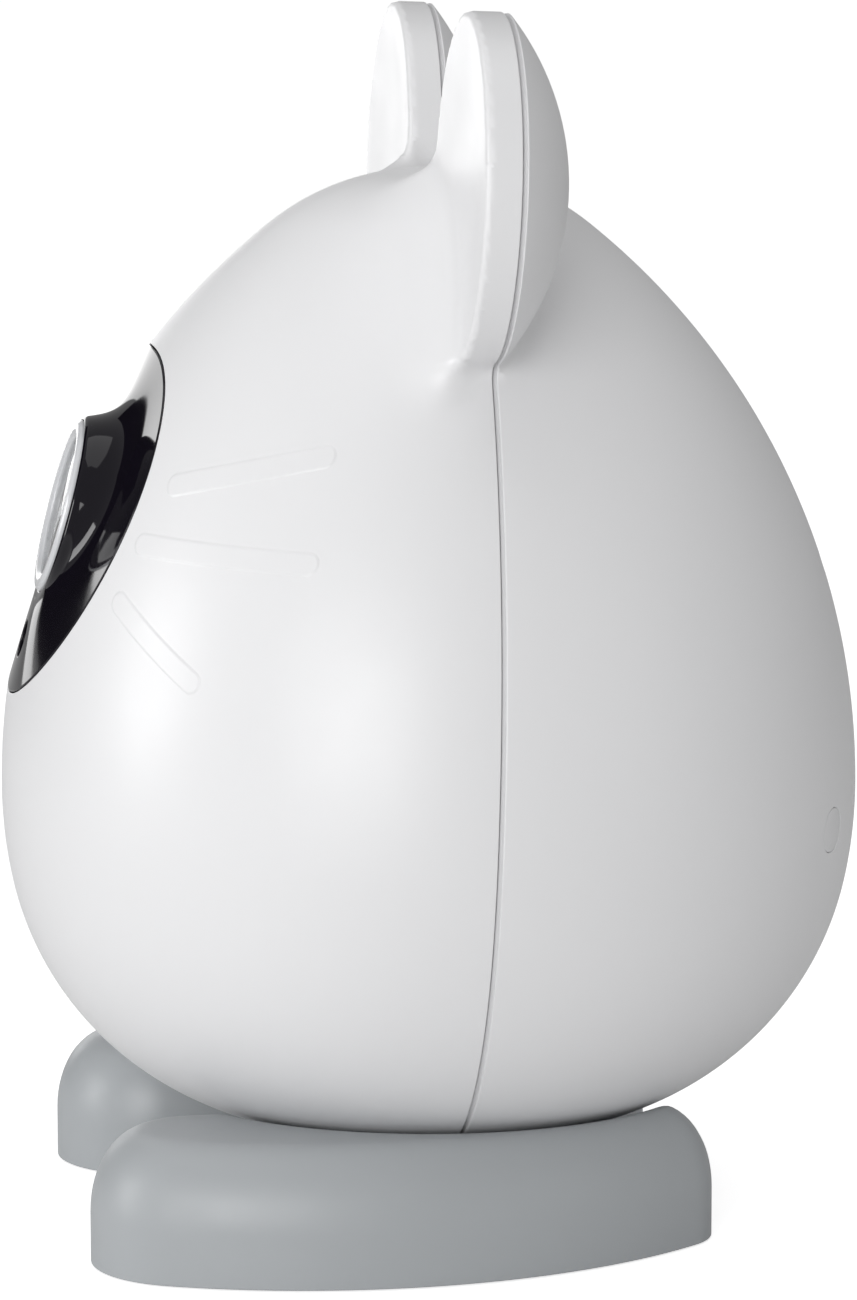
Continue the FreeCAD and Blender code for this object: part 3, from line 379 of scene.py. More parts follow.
def front_openings(points):
    """Above zero where the front shell is cut away."""
    right, up, out = lens_coordinates(points)
    recess = only_where(out > PANEL_AHEAD_OF, panel_edge(right, up) + PANEL_GAP - np.hypot(right, up))
    return np.maximum(smooth_max(-seam(points), neck_hole(points), SEAM_BLEND), recess)


def bar_distance(across, up, half_across, half_up, corner):
    """Distance to a flat bar with rounded corners."""
    beyond = np.abs(across) - (half_across - corner)
    above = np.abs(up) - (half_up - corner)
    return (np.minimum(np.maximum(beyond, above), 0.0)
            + np.hypot(np.maximum(beyond, 0.0), np.maximum(above, 0.0)) - corner)


def rear_holes(points):
    """Above zero inside the holes of the rear shell."""
    x = points[:, 0]
    z = points[:, 2]
    cuts = [BUTTON_HOLE - np.hypot(x, z - BUTTON_HEIGHT),
            PLUG_RADIUS - np.hypot(np.abs(x) - PLUG_SPREAD, z - PLUG_HEIGHT),
            -bar_distance(x, z - INLET_HEIGHT, *INLET_HALF, INLET_CORNER)]
    for height, wide in SLOT_HEIGHTS:
        cuts.append(-bar_distance(x, z - height, wide / 2, SLOT_TALL / 2, SLOT_CORNER))
    return only_where(points[:, 1] > HOLES_BEHIND, np.max(cuts, axis=0))


def rear_openings(points, seam_lip=0.0, hole_lip=0.0):
    """Above zero where the rear shell is cut away, widened by the lips."""
    edge = smooth_max(seam(points) + SEAM_GAP, neck_hole(points), SEAM_BLEND)
    return np.maximum(edge + seam_lip, rear_holes(points) + hole_lip)


def within(field, reach):
    """A chooser of points: those where the field is less than reach from zero."""
    return lambda points: np.abs(field(points)) < reach


def widened(field, lip):
    """The field raised by the width of the rolled edge."""
    return lambda points: field(points) + lip


# ---- meshes on those shapes -------------------------------------------------------------------

def spots_of(vertices):
    """The places of some vertices in millimetres."""
    return np.array([vertex.co for vertex in vertices], float).reshape(-1, 3) / MM


def put(vertices, spots):
    """Moves the vertices to spots in millimetres."""
    for vertex, spot in zip(vertices, spots * MM):
        vertex.co = spot


def tube_faces(rings, count):
    """Faces between rings of count vertices each."""
    faces = []
    for ring in range(rings - 1):
        for step in range(count):
            following = (step + 1) % count
            faces.append((ring * count + step, ring * count + following,
                          (ring + 1) * count + following, (ring + 1) * count + step))
    return faces


def lathe_rings(profile, count):
    """Vertices of a profile turned about Z, ring by ring, and their faces."""
    turns = np.arange(count) * 2 * math.pi / count
    points = np.array([(r * math.cos(t), r * math.sin(t), z) for r, z in profile for t in turns])
    return points, tube_faces(len(profile), count)


def add_part(mesh, points, faces):
    """Adds points in millimetres, and faces given as their indices, to a bmesh."""
    verts = [mesh.verts.new(point * MM) for point in points]
    for face in faces:
        mesh.faces.new([verts[index] for index in face])


def closed_lathe(mesh, profile, move=None, count=48):
    """Adds a turned solid whose first and last rings are capped."""
    points, faces = lathe_rings(profile, count)
    faces.append(tuple(reversed(range(count))))
    last = (len(profile) - 1) * count
    faces.append(tuple(range(last, last + count)))
    add_part(mesh, points if move is None else move(points), faces)


def skinned(rough, voxel, shape):
    """A new bmesh: rough solids joined by a voxel remesh, then settled onto the shape."""
    bmesh.ops.recalc_face_normals(rough, faces=rough.faces)
    data = bpy.data.meshes.new("rough")
    rough.to_mesh(data)
    rough.free()
    holder = bpy.data.objects.new("rough", data)
    bpy.context.scene.collection.objects.link(holder)
    remesh = holder.modifiers.new("remesh", "REMESH")
    remesh.mode = "VOXEL"
    remesh.voxel_size = voxel * MM
    bpy.context.view_layer.update()
    joined = holder.evaluated_get(bpy.context.evaluated_depsgraph_get())
    smooth = bpy.data.meshes.new_from_object(joined)
    mesh = bmesh.new()
    mesh.from_mesh(smooth)
    bpy.data.objects.remove(holder)
    bpy.data.meshes.remove(data)
    bpy.data.meshes.remove(smooth)
    for _ in range(SMOOTH_ROUNDS):
        bmesh.ops.smooth_vert(mesh, verts=mesh.verts, factor=0.5,
                              use_axis_x=True, use_axis_y=True, use_axis_z=True)
        put(mesh.verts, settle(shape, spots_of(mesh.verts), rounds=2))
    put(mesh.verts, settle(shape, spots_of(mesh.verts)))
    return mesh


def refine(mesh, near, shape):
    """Halves the faces whose corners near() picks, and settles the new corners."""
    mesh.verts.ensure_lookup_table()
    chosen = near(spots_of(mesh.verts))
    edges = [edge for edge in mesh.edges
             if chosen[edge.verts[0].index] and chosen[edge.verts[1].index]]
    bmesh.ops.subdivide_edges(mesh, edges=edges, cuts=1, use_grid_fill=True)
    mesh.verts.index_update()
    put(mesh.verts, settle(shape, spots_of(mesh.verts), rounds=3))


def split_on_line(mesh, value):
    """Splits the faces that have vertices on both sides of zero, and their edges, at zero."""
    def crossed(face):
        values = [value[vertex] for vertex in face.verts]
        return min(values) < 0 < max(values)

    bmesh.ops.triangulate(mesh, faces=[face for face in mesh.faces if crossed(face)])
    crossing = [edge for edge in mesh.edges if value[edge.verts[0]] * value[edge.verts[1]] < 0]
    for edge in crossing:
        first, second = edge.verts
        share = value[first] / (value[first] - value[second])
        _, fresh = bmesh.utils.edge_split(edge, first, share)
        value[fresh] = 0.0
    for face in [face for face in mesh.faces if crossed(face)]:
        zero = [vertex for vertex in face.verts if value[vertex] == 0.0]
        if len(zero) == 2:
            bmesh.utils.face_split(face, zero[0], zero[1])


def drop_removed(mesh, value):
    """Deletes the faces above zero, and slivers that lie wholly on the line."""
    gone = [face for face in mesh.faces if max(value[vertex] for vertex in face.verts) > 0]
    bmesh.ops.delete(mesh, geom=gone, context="FACES")
    flat = [face for face in mesh.faces
            if all(value[vertex] == 0.0 for vertex in face.verts) and face.calc_area() < SLIVER_AREA]
    bmesh.ops.delete(mesh, geom=flat, context="FACES")


def settle_border(border, shape, removed):
    """Moves the open vertices onto the line where removed is zero on the shape."""
    spots = spots_of(border)
    for _ in range(BORDER_ROUNDS):
        away = slope(removed, spots)
        steep = np.maximum((away * away).sum(axis=1), BORDER_SLOPE)
        move = np.clip(removed(spots), -BORDER_MOVE, BORDER_MOVE) / steep
        spots = spots - away * move[:, None]
        spots = settle(shape, spots, rounds=1)
    put(border, spots)


def cut_along(mesh, shape, removed):
    """Trims the mesh where removed is above zero. Returns the open edges of the cut."""
    mesh.verts.index_update()
    values = removed(spots_of(mesh.verts))
    values[np.abs(values) < ON_LINE] = 0.0
    value = dict(zip(mesh.verts, values))
    split_on_line(mesh, value)
    drop_removed(mesh, value)
    open_edges = [edge for edge in mesh.edges if len(edge.link_faces) == 1]
    border = list(dict.fromkeys(vertex for edge in open_edges for vertex in edge.verts))
    settle_border(border, shape, removed)
    return open_edges


def directed(open_edges):
    """The open edges as pairs of vertices, each in the winding order of its face."""
    pairs = []
    for edge in open_edges:
        corner = next(loop for loop in edge.link_faces[0].loops if loop.edge == edge)
        pairs.append((corner.vert, corner.link_loop_next.vert))
    return pairs


def edge_directions(spots, shape, removed):
    """For each spot on the open edge: out over the edge, and in through the wall."""
    over = unit(slope(removed, spots))
    normal = unit(slope(shape, spots))
    inward = unit(normal - over * (normal * over).sum(axis=1)[:, None])
    return over, -inward


def wall_profile(lip, ledge, wall):
    """Pairs that run across the wall's edge: how far over the edge, and how far into the wall."""
    profile = []
    for step in range(1, LIP_STEPS + 1):
        turn = math.pi / 2 * step / LIP_STEPS
        profile.append((lip * math.sin(turn), lip * (1 - math.cos(turn))))
    if ledge is not None:
        reach = lip + ledge
        top = np.full(len(lip), LEDGE_TOP)
        low = np.full(len(lip), LEDGE_LOW)
        profile += [(lip, top), (reach, top), (reach, low), (lip, low)]
    profile.append((lip, np.full(len(lip), wall)))
    return profile


def sweep(mesh, edges, border, spots, over, inward, profile):
    """Extrudes the open edges through the profile's pairs. Returns the last ring of vertices."""
    rings = [dict(zip(border, border))]
    for out, deep in profile:
        fresh = spots + over * out[:, None] + inward * deep[:, None]
        rings.append({old: mesh.verts.new(spot * MM) for old, spot in zip(border, fresh)})
    for before, after in zip(rings, rings[1:]):
        for start, end in edges:
            mesh.faces.new((before[end], before[start], after[start], after[end]))
    return rings[-1]


def make_shell(mesh, shape, removed, trimmed, wall, ledge=None):
    """Cuts the openings, rolls their edges in, and adds the inner face of the wall.

    trimmed is the removed field plus the width of the rolled edge. ledge gives, at each spot of
    the edge, how far a small step in the middle of the wall reaches out over it."""
    open_edges = cut_along(mesh, shape, trimmed)
    mesh.verts.index_update()
    outer_faces = list(mesh.faces)
    outer_verts = list(mesh.verts)
    edges = directed(open_edges)
    border = list(dict.fromkeys(vertex for pair in edges for vertex in pair))
    spots = spots_of(border)
    over, inward = edge_directions(spots, shape, removed)
    lip = np.clip(-removed(spots), *LIP_RANGE)
    step_out = None if ledge is None else ledge(spots)
    last = sweep(mesh, edges, border, spots, over, inward, wall_profile(lip, step_out, wall))
    points = spots_of(outer_verts)
    inner = points - unit(slope(shape, points)) * wall
    twin = {vertex: mesh.verts.new(spot * MM) for vertex, spot in zip(outer_verts, inner)}
    put([twin[vertex] for vertex in border], spots + inward * wall)
    for face in outer_faces:
        mesh.faces.new([twin[vertex] for vertex in reversed(face.verts)])
    for start, end in edges:
        mesh.faces.new((last[end], last[start], twin[start], twin[end]))


def as_piece(name, mesh, body, nodes, slot, shape=None):
    """Turns a bmesh into a smooth-shaded piece that stands for CAD nodes.

    With a shape, the vertices that lie on it are shaded with the shape's own slope."""
    bmesh.ops.dissolve_degenerate(mesh, dist=SHORTEST_EDGE, edges=mesh.edges)
    for face in mesh.faces:
        face.smooth = True
    for edge in mesh.edges:
        edge.smooth = not (len(edge.link_faces) == 2
                           and edge.calc_face_angle(0.0) > CREASE)
    data = bpy.data.meshes.new(name)
    mesh.to_mesh(data)
    mesh.free()
    piece = bpy.data.objects.new(name, data)
    bpy.context.scene.collection.objects.link(piece)
    if shape is not None:
        points = spots_of(data.vertices)
        facing = unit(slope(shape, points))
        facing[np.abs(shape(points)) > ON_SURFACE] = 0.0
        data.normals_split_custom_set_from_vertices(facing.tolist())
    data.materials.append(finish_for(slot))
    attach(piece, body)
    if nodes:
        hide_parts(*nodes)
    return piece


# ---- materials --------------------------------------------------------------------------------

class Nodes:
    """A small helper that builds one material's node tree."""

    def __init__(self, name):
        self.material = bpy.data.materials.new(name)
        self.material.use_nodes = True
        self.tree = self.material.node_tree
        self.tree.nodes.clear()
        self.shader = self.add("ShaderNodeBsdfPrincipled")
        output = self.add("ShaderNodeOutputMaterial")
        self.join(self.shader.outputs["BSDF"], output.inputs["Surface"])
        self.place = self.add("ShaderNodeTexCoord").outputs["Object"]

    def add(self, kind, **settings):
        node = self.tree.nodes.new(kind)
        for key, value in settings.items():
            setattr(node, key, value)
        return node

    def join(self, source, target):
        self.tree.links.new(source, target)

    def set(self, **values):
        for key, value in values.items():
            socket = key.replace("_", " ")
            self.shader.inputs[socket].default_value = value

    def noise(self, scale, detail=3.0, roughness=0.5, stretch=None):
        """Noise that repeats about every 1/scale metres, on the object's own coordinates."""
        source = self.place
        if stretch is not None:
            mapping = self.add("ShaderNodeMapping")
            mapping.inputs["Scale"].default_value = stretch
            self.join(self.place, mapping.inputs["Vector"])
            source = mapping.outputs["Vector"]
        node = self.add("ShaderNodeTexNoise")
        node.inputs["Scale"].default_value = scale
        node.inputs["Detail"].default_value = detail
        node.inputs["Roughness"].default_value = roughness
        self.join(source, node.inputs["Vector"])
        return node.outputs["Fac"]

    def ramp(self, source, low, high, span=(0.3, 0.7)):
        """Maps a 0 to 1 source onto a number from low to high."""
        node = self.add("ShaderNodeMapRange")
        node.inputs["From Min"].default_value = span[0]
        node.inputs["From Max"].default_value = span[1]
        node.inputs["To Min"].default_value = low
        node.inputs["To Max"].default_value = high
        self.join(source, node.inputs["Value"])
        return node.outputs["Result"]

    def blend(self, source, dark, light):
        """A colour between dark and light."""
        node = self.add("ShaderNodeMix", data_type="RGBA")
        node.inputs[6].default_value = (*dark, 1.0)
        node.inputs[7].default_value = (*light, 1.0)
        self.join(source, node.inputs[0])
        return node.outputs[2]

    def colour(self, source, dark, light):
        self.join(self.blend(source, dark, light), self.shader.inputs["Base Color"])

    def rough(self, source, low, high):
        self.join(self.ramp(source, low, high), self.shader.inputs["Roughness"])

    def bump(self, source, height, strength=1.0, under=None):
        """Bump whose full range is height millimetres."""
        node = self.add("ShaderNodeBump")
        node.inputs["Distance"].default_value = height * MM
        node.inputs["Strength"].default_value = strength
        self.join(source, node.inputs["Height"])
        if under is not None:
            self.join(under, node.inputs["Normal"])
        self.join(node.outputs["Normal"], self.shader.inputs["Normal"])
        return node.outputs["Normal"]


def moulded(name, dark, light, rough, grain=0.004, coat=0.0, sheen=0.0, shine=0.5):
    """Moulded plastic or rubber: faint colour drift, uneven gloss and a fine grain."""
    made = Nodes(name)
    drift = made.noise(18.0, detail=2.0)
    fine = made.noise(2500.0, detail=2.0)
    made.colour(drift, dark, light)
    made.rough(made.noise(140.0, detail=4.0, roughness=0.6), *rough)
    wave = made.bump(made.noise(55.0, detail=1.0), 0.02, 0.35)
    made.bump(fine, grain, 1.0, under=wave)
    made.set(Coat_Weight=coat, Coat_Roughness=0.12, Sheen_Weight=sheen, Specular_IOR_Level=shine)
    return made.material


def brushed(name, dark, light, rough):
    """Plated or rolled metal with drawn lines and a few stains."""
    made = Nodes(name)
    lines = made.noise(900.0, detail=4.0, stretch=(1.0, 1.0, 30.0))
    made.colour(made.noise(90.0, detail=4.0), dark, light)
    made.rough(lines, *rough)
    made.bump(lines, 0.004, 0.6)
    made.set(Metallic=1.0)
    return made.material


def clear(name, tint, rough, index, weight=1.0, film=0.0):
    """Clear moulded plastic or glass with faint smudges in its gloss."""
    made = Nodes(name)
    smudge = made.noise(120.0, detail=5.0, roughness=0.65)
    made.colour(smudge, tuple(part * 0.97 for part in tint), tint)
    made.rough(smudge, rough, rough + 0.03)
    made.bump(made.noise(60.0, detail=1.0), 0.002, 0.3)
    made.set(Transmission_Weight=weight, IOR=index, Thin_Film_Thickness=film)
    return made.material


def circuit_board(name):
    """Green solder mask over copper tracks, with tinned pads."""
    made = Nodes(name)
    tracks = made.add("ShaderNodeTexBrick")
    tracks.inputs["Scale"].default_value = 400.0
    tracks.inputs["Mortar Size"].default_value = 0.03
    tracks.inputs["Color1"].default_value = (0.25, 0.25, 0.25, 1.0)
    tracks.inputs["Color2"].default_value = (0.55, 0.55, 0.55, 1.0)
    tracks.inputs["Mortar"].default_value = (1.0, 1.0, 1.0, 1.0)
    turned = made.add("ShaderNodeMapping")
    turned.inputs["Rotation"].default_value = (math.pi / 2, 0.0, 0.0)
    made.join(made.place, turned.inputs["Vector"])
    made.join(turned.outputs["Vector"], tracks.inputs["Vector"])
    made.colour(tracks.outputs["Color"], (0.004, 0.07, 0.025), (0.03, 0.22, 0.09))
    made.rough(made.noise(300.0), 0.28, 0.42)
    made.bump(tracks.outputs["Color"], 0.03, 0.7)
    return made.material


def cone_paper(name):
    """Pressed speaker cone: dark paper with radial fibres."""
    made = Nodes(name)
    fibres = made.noise(1400.0, detail=5.0, roughness=0.7, stretch=(1.0, 0.2, 1.0))
    made.colour(fibres, (0.02, 0.02, 0.02), (0.08, 0.08, 0.075))
    made.rough(fibres, 0.75, 0.95)
    made.bump(fibres, 0.05, 0.8)
    return made.material


def ribbon_film(name):
    """Amber film over parallel copper tracks."""
    made = Nodes(name)
    bars = made.add("ShaderNodeTexWave", wave_type="BANDS", bands_direction="X")
    bars.inputs["Scale"].default_value = 300.0
    bars.inputs["Distortion"].default_value = 0.0
    made.join(made.place, bars.inputs["Vector"])
    made.colour(bars.outputs["Fac"], (0.22, 0.08, 0.01), (0.55, 0.28, 0.06))
    made.rough(made.noise(200.0), 0.25, 0.4)
    made.bump(bars.outputs["Fac"], 0.02, 0.6)
    return made.material


# what makes each slot's material; most give a dark and a light colour, a range of roughness, and grain
MADE = {}
FINISHES = {
    "white_shell": lambda n: moulded(n, (0.80, 0.80, 0.81), (0.84, 0.84, 0.85), (0.31, 0.38), 0.002),
    "grey_feet": lambda n: moulded(n, (0.385, 0.405, 0.42), (0.415, 0.435, 0.45), (0.34, 0.44), 0.004),
    "black_face": lambda n: moulded(n, (0.004, 0.003, 0.006), (0.007, 0.006, 0.010), (0.04, 0.07), 0.0003,
                                    shine=0.35),
    "lens_trim": lambda n: moulded(n, (0.62, 0.63, 0.65), (0.68, 0.69, 0.71), (0.18, 0.26), 0.001, coat=0.4),
    "clear_window": lambda n: clear(n, (0.93, 0.95, 0.97), 0.01, 1.49),
    "lens_glass": lambda n: clear(n, (0.80, 0.82, 0.95), 0.0, 1.62, film=320.0),
    "black_plastic": lambda n: moulded(n, (0.010, 0.010, 0.011), (0.018, 0.018, 0.02), (0.38, 0.5), 0.006),
    "black_rubber": lambda n: moulded(n, (0.014, 0.014, 0.014), (0.03, 0.03, 0.03), (0.65, 0.8), 0.02,
                                      sheen=0.2),
    "white_rubber": lambda n: moulded(n, (0.76, 0.76, 0.77), (0.81, 0.81, 0.82), (0.42, 0.55), 0.006,
                                      sheen=0.1),
    "green_board": circuit_board,
    "chip_black": lambda n: moulded(n, (0.012, 0.012, 0.014), (0.022, 0.022, 0.025), (0.45, 0.6), 0.01),
    "shield_metal": lambda n: brushed(n, (0.52, 0.53, 0.54), (0.66, 0.67, 0.68), (0.29, 0.42)),
    "screw_steel": lambda n: brushed(n, (0.36, 0.37, 0.39), (0.5, 0.51, 0.53), (0.29, 0.4)),
    "magnet_metal": lambda n: brushed(n, (0.24, 0.25, 0.27), (0.34, 0.35, 0.37), (0.29, 0.42)),
    "cone_paper": cone_paper,
    "lamp_epoxy": lambda n: clear(n, (0.22, 0.12, 0.28), 0.02, 1.53, weight=0.8),
    "socket_metal": lambda n: brushed(n, (0.56, 0.56, 0.57), (0.7, 0.7, 0.71), (0.29, 0.4)),
    "ribbon_film": ribbon_film,
    "hub_plastic": lambda n: moulded(n, (0.42, 0.44, 0.45), (0.48, 0.5, 0.51), (0.35, 0.48), 0.006),
    "washer_film": lambda n: moulded(n, (0.62, 0.6, 0.53), (0.7, 0.68, 0.6), (0.4, 0.55), 0.01),
}


def finish_for(slot):
    """The one material of a slot, made when it is first asked for."""
    if slot not in MADE:
        MADE[slot] = FINISHES[slot](slot)
    return MADE[slot]


# ---- pieces -----------------------------------------------------------------------------------

def arc_points(centre_r, centre_z, radius, start, end, count):
    """Points along an arc of a profile, from start to end in degrees."""
    turns = np.radians(np.linspace(start, end, count))
    return [(centre_r + radius * math.cos(t), centre_z + radius * math.sin(t)) for t in turns]


def stood_up(side):
    """A placing function: a turned solid becomes one ear, its axis square to the parting plane."""
    centre = np.array([side * EAR_SPREAD, EAR_CENTRE_Y, EAR_HEIGHT])

    def move(points):
        return centre + points[:, :1] * RIGHT + points[:, 1:2] * SEAM_UP + points[:, 2:3] * FORWARD
    return move


def rough_head():
    """The egg and its ears as plain turned solids."""
    mesh = bmesh.new()
    outline = [(2.0, EGG_FLOOR)]
    outline += arc_points(*KEEL_ARC, -88, -14, 20)
    outline += arc_points(*BELLY_ARC, -11, -2, 4)
    outline += arc_points(*SIDE_ARC, 1, 50, 30)
    outline += arc_points(*CROWN_ARC, 53, 86, 14)
    closed_lathe(mesh, outline, count=96)
    for side in (-1, 1):
        closed_lathe(mesh, ROUGH_EAR, stood_up(side))
    return mesh


def ear_edges(points):
    """Near an ear's rim, or near the fillet where it meets the egg."""
    out, ahead = ear_coordinates(points)
    rim = (np.abs(out - EAR_RADIUS + RIM_INSET) < RIM_BAND) & (np.abs(ahead) < RIM_DEPTH)
    fillet = (np.abs(egg(points) - ears(points)) < FILLET_BAND) & (ahead > -FILLET_BACK)
    return rim | fillet


def seam_ledge(spots):
    """The rear shell's ledge under the parting line, left off round the holes."""
    return LEDGE_REACH * ease((seam(spots) + SEAM_GAP + LEDGE_END) / LEDGE_FADE)


def make_shells():
    """The front and rear shells of the head, cut from one skin."""
    rear = skinned(rough_head(), HEAD_VOXEL, head)
    refine(rear, ear_edges, head)
    front = rear.copy()
    for band in WHISKER_BANDS:
        refine(front, within(whisker_edges, band), head)
    make_shell(front, head, front_openings, widened(front_openings, HOLE_LIP), WALL)
    as_piece("front_shell_skin", front, "head", ["front_shell"], "white_shell", head)
    for band in HOLE_BANDS:
        refine(rear, within(rear_holes, band), head)

    def rear_trim(points):
        return rear_openings(points, SEAM_LIP, HOLE_LIP)

    make_shell(rear, head, rear_openings, rear_trim, WALL, seam_ledge)
    as_piece("rear_shell_skin", rear, "head", ["rear_shell"], "white_shell", head)


def panel_height(flat):
    """How far out the face panel's surface is, over each point of the lens's own plane.

    It starts level beside the lens ring, dives, and runs out nearly straight to the egg at its edge."""
    across = np.maximum(np.hypot(flat[:, 0], flat[:, 1]), 1e-6)
    edge = panel_edge(flat[:, 0], flat[:, 1])
    rim = flat * (edge / across)[:, None]
    out = out_to_egg(np.full(len(flat), PANEL_START), lambda found: from_lens(rim, found))
    share = (across - LAND_RADIUS) / (edge - LAND_RADIUS)
    share = 0.5 * (share + np.sqrt(share * share + PANEL_LAND_BEND))
    dive = 1.0 - np.exp(-share / PANEL_DIVE_SPAN)
    return out * (PANEL_DIVE * dive + (1.0 - PANEL_DIVE) * share)


def face(points):
    """Signed height over the face panel's surface."""
    right, up, out = lens_coordinates(points)
    return out - panel_height(np.stack([right, up], axis=1))


def eye_edge(points):
    """Distance outside the small round hole for the light sensor."""
    right, up, _ = lens_coordinates(points)
    return np.hypot(right, up + EYE_DROP) - EYE_RADIUS


def panel_openings(points):
    """Above zero outside the face panel, in its well for the lens, and in the sensor's hole."""
    right, up, _ = lens_coordinates(points)
    across = np.hypot(right, up)
    return np.max([across - panel_edge(right, up), WELL_RADIUS - across, -eye_edge(points)], axis=0)


def make_face_panel():
    """The round black face: it follows the egg, and flares out to the lens ring."""
    rings = np.linspace(WELL_RADIUS - PANEL_SPARE, PANEL_RADIUS + PANEL_SPARE, PANEL_RINGS)
    flat, faces = lathe_rings([(ring, 0.0) for ring in rings], PANEL_TURNS)
    out = panel_height(flat[:, :2])
    mesh = bmesh.new()
    add_part(mesh, from_lens(flat[:, :2], out), [tuple(reversed(corners)) for corners in faces])
    refine(mesh, within(eye_edge, EYE_BAND), face)
    make_shell(mesh, face, panel_openings, widened(panel_openings, HOLE_LIP), PANEL_WALL)
    as_piece("face_panel_skin", mesh, "head", ["face_panel"], "black_face", face)


def rounded(profile, radius, steps=3):
    """A profile with each inner corner turned into a small arc."""
    smooth = [profile[0]]
    for before, corner, after in zip(profile, profile[1:], profile[2:]):
        corner_at = np.array(corner, float)
        back = np.array(before, float) - corner_at
        onward = np.array(after, float) - corner_at
        reach = min(radius, 0.45 * np.linalg.norm(back), 0.45 * np.linalg.norm(onward))
        start = corner_at + back / np.linalg.norm(back) * reach
        end = corner_at + onward / np.linalg.norm(onward) * reach
        for step in range(steps + 1):
            share = step / steps
            smooth.append(tuple((1 - share) ** 2 * start + 2 * share * (1 - share) * corner_at
                                + share ** 2 * end))
    smooth.append(profile[-1])
    return smooth


def turned(name, profile, move, body, nodes, slot, radius=0.15, count=128, ring=True):
    """A turned piece with softened corners. A ring's profile closes on itself."""
    points = [tuple(point) for point in profile]
    mesh = bmesh.new()
    if ring:
        loop = rounded([points[-1]] + points + [points[0]], radius)[1:-1]
        verts, faces = lathe_rings(loop, count)
        last = (len(loop) - 1) * count
        for step in range(count):
            following = (step + 1) % count
            faces.append((last + step, last + following, following, step))
        add_part(mesh, move(verts), faces)
    else:
        closed_lathe(mesh, rounded(points, radius), move, count)
    bmesh.ops.recalc_face_normals(mesh, faces=mesh.faces)
    return as_piece(name, mesh, body, nodes, slot)


def along_lens(points):
    """A placing function: turned pieces whose axis is the lens's."""
    return from_lens(points[:, :2], points[:, 2])


def backwards(x, z):
    """A placing function: turned pieces that point to the rear at x and z."""
    def move(points):
        return np.stack([x + points[:, 0], points[:, 2], z + points[:, 1]], axis=1)
    return move


def let_into_rear(side):
    """A placing function: a turned plug whose outer face follows the egg's rear."""
    def move(points):
        x = side * PLUG_SPREAD + points[:, 0]
        z = PLUG_HEIGHT + points[:, 1]
        surface = out_to_egg(np.full(len(points), REAR_START), lambda y: np.stack([x, y, z], axis=1))
        return np.stack([x, surface - PLUG_SINK + points[:, 2], z], axis=1)
    return move


def make_lens():
    """The plated trim, its clear window, and the stepped black baffle that stands behind it."""
    turned("lens_ring_trim", TRIM_OUTLINE, along_lens, "head", ["lens_ring"], "lens_trim", 0.12)
    turned("lens_window_pane", WINDOW_OUTLINE, along_lens, "head", ["lens_window"], "clear_window",
           0.06, ring=False)
    turned("lens_baffle", BAFFLE_OUTLINE, along_lens, "head", [], "black_plastic", 0.08)


def make_button_and_plugs():
    """The soft pairing button with its dished face, and the two plugs over the housing screws."""
    turned("pair_button_cap", BUTTON_OUTLINE, backwards(0.0, BUTTON_HEIGHT), "button", ["pair_button"],
           "white_rubber", 0.3, 64, ring=False)
    for name, side in (("left", -1), ("right", 1)):
        turned(f"screw_plug_{name}", PLUG_OUTLINE, let_into_rear(side), "head", ["screw_plugs"],
               "white_rubber", 0.1, 48, ring=False)


def flank_centre():
    """The centre of the flank's circle, which holds both end circles: along and aside from the toe."""
    to_toe = FLANK_RADIUS - TOE[2]
    to_heel = FLANK_RADIUS - HEEL[2]
    along = (to_toe ** 2 - to_heel ** 2 + FOOT_LENGTH ** 2) / (2 * FOOT_LENGTH)
    return along, math.sqrt(to_toe ** 2 - along ** 2)


def inner_side(ahead, aside, at_toe, at_heel):
    """Distance from the foot's inner side: the straight line that touches both circles."""
    drift = (TOE[2] - HEEL[2]) / FOOT_LENGTH
    lean = math.sqrt(1 - drift * drift)
    place = -drift * aside + lean * ahead
    line = drift * ahead + lean * aside - TOE[2]
    return np.where(place < 0, at_toe, np.where(place > lean * FOOT_LENGTH, at_heel, line))


def outer_side(ahead, aside, at_toe, at_heel):
    """Distance from the foot's outer side: the bowed flank between the two circles."""
    along, sink = flank_centre()
    flank = np.hypot(ahead - along, aside - sink) - FLANK_RADIUS
    toe_turn = math.atan2(-along, sink)
    heel_turn = math.atan2(FOOT_LENGTH - along, sink)
    turn = np.arctan2(ahead - along, sink - aside)
    return np.where(turn < toe_turn, at_toe, np.where(turn > heel_turn, at_heel, flank))


def foot_outline(points):
    """Signed distance from either foot's outline on the ground."""
    flat = np.stack([np.abs(points[:, 0]), points[:, 1]], axis=1) - TOE_CENTRE
    ahead = flat @ FOOT_ALONG
    aside = flat @ FOOT_INWARD
    at_toe = np.hypot(ahead, aside) - TOE[2]
    at_heel = np.hypot(ahead - FOOT_LENGTH, aside) - HEEL[2]
    return np.where(aside > 0, inner_side(ahead, aside, at_toe, at_heel),
                    outer_side(ahead, aside, at_toe, at_heel))


def foot(points):
    """A foot: vertical sides, a tall soft shoulder, and a top dished to clear the egg."""
    sideways = foot_outline(points) / SHOULDER_WIDE + 1.0
    above = (points[:, 2] - FOOT_TOP) / SHOULDER_TALL + 1.0
    block = SHOULDER_WIDE * (np.minimum(np.maximum(sideways, above), 0.0) - 1.0
                             + np.hypot(np.maximum(sideways, 0.0), np.maximum(above, 0.0)))
    block = np.maximum(block, FOOT_BASE - points[:, 2])
    return smooth_max(block, cradle(points), CRADLE_BLEND)


def cradle(points):
    """Above zero in the hollow that keeps the foot's top clear of the egg."""
    return CRADLE_GAP - egg(points)


def foot_openings(points):
    """Above zero below the foot's lower edge, and in the way of the pan socket."""
    hub = SOCKET_WAY - np.hypot(points[:, 0], points[:, 1])
    return smooth_max(FOOT_LOW - points[:, 2], hub, SOCKET_BLEND)


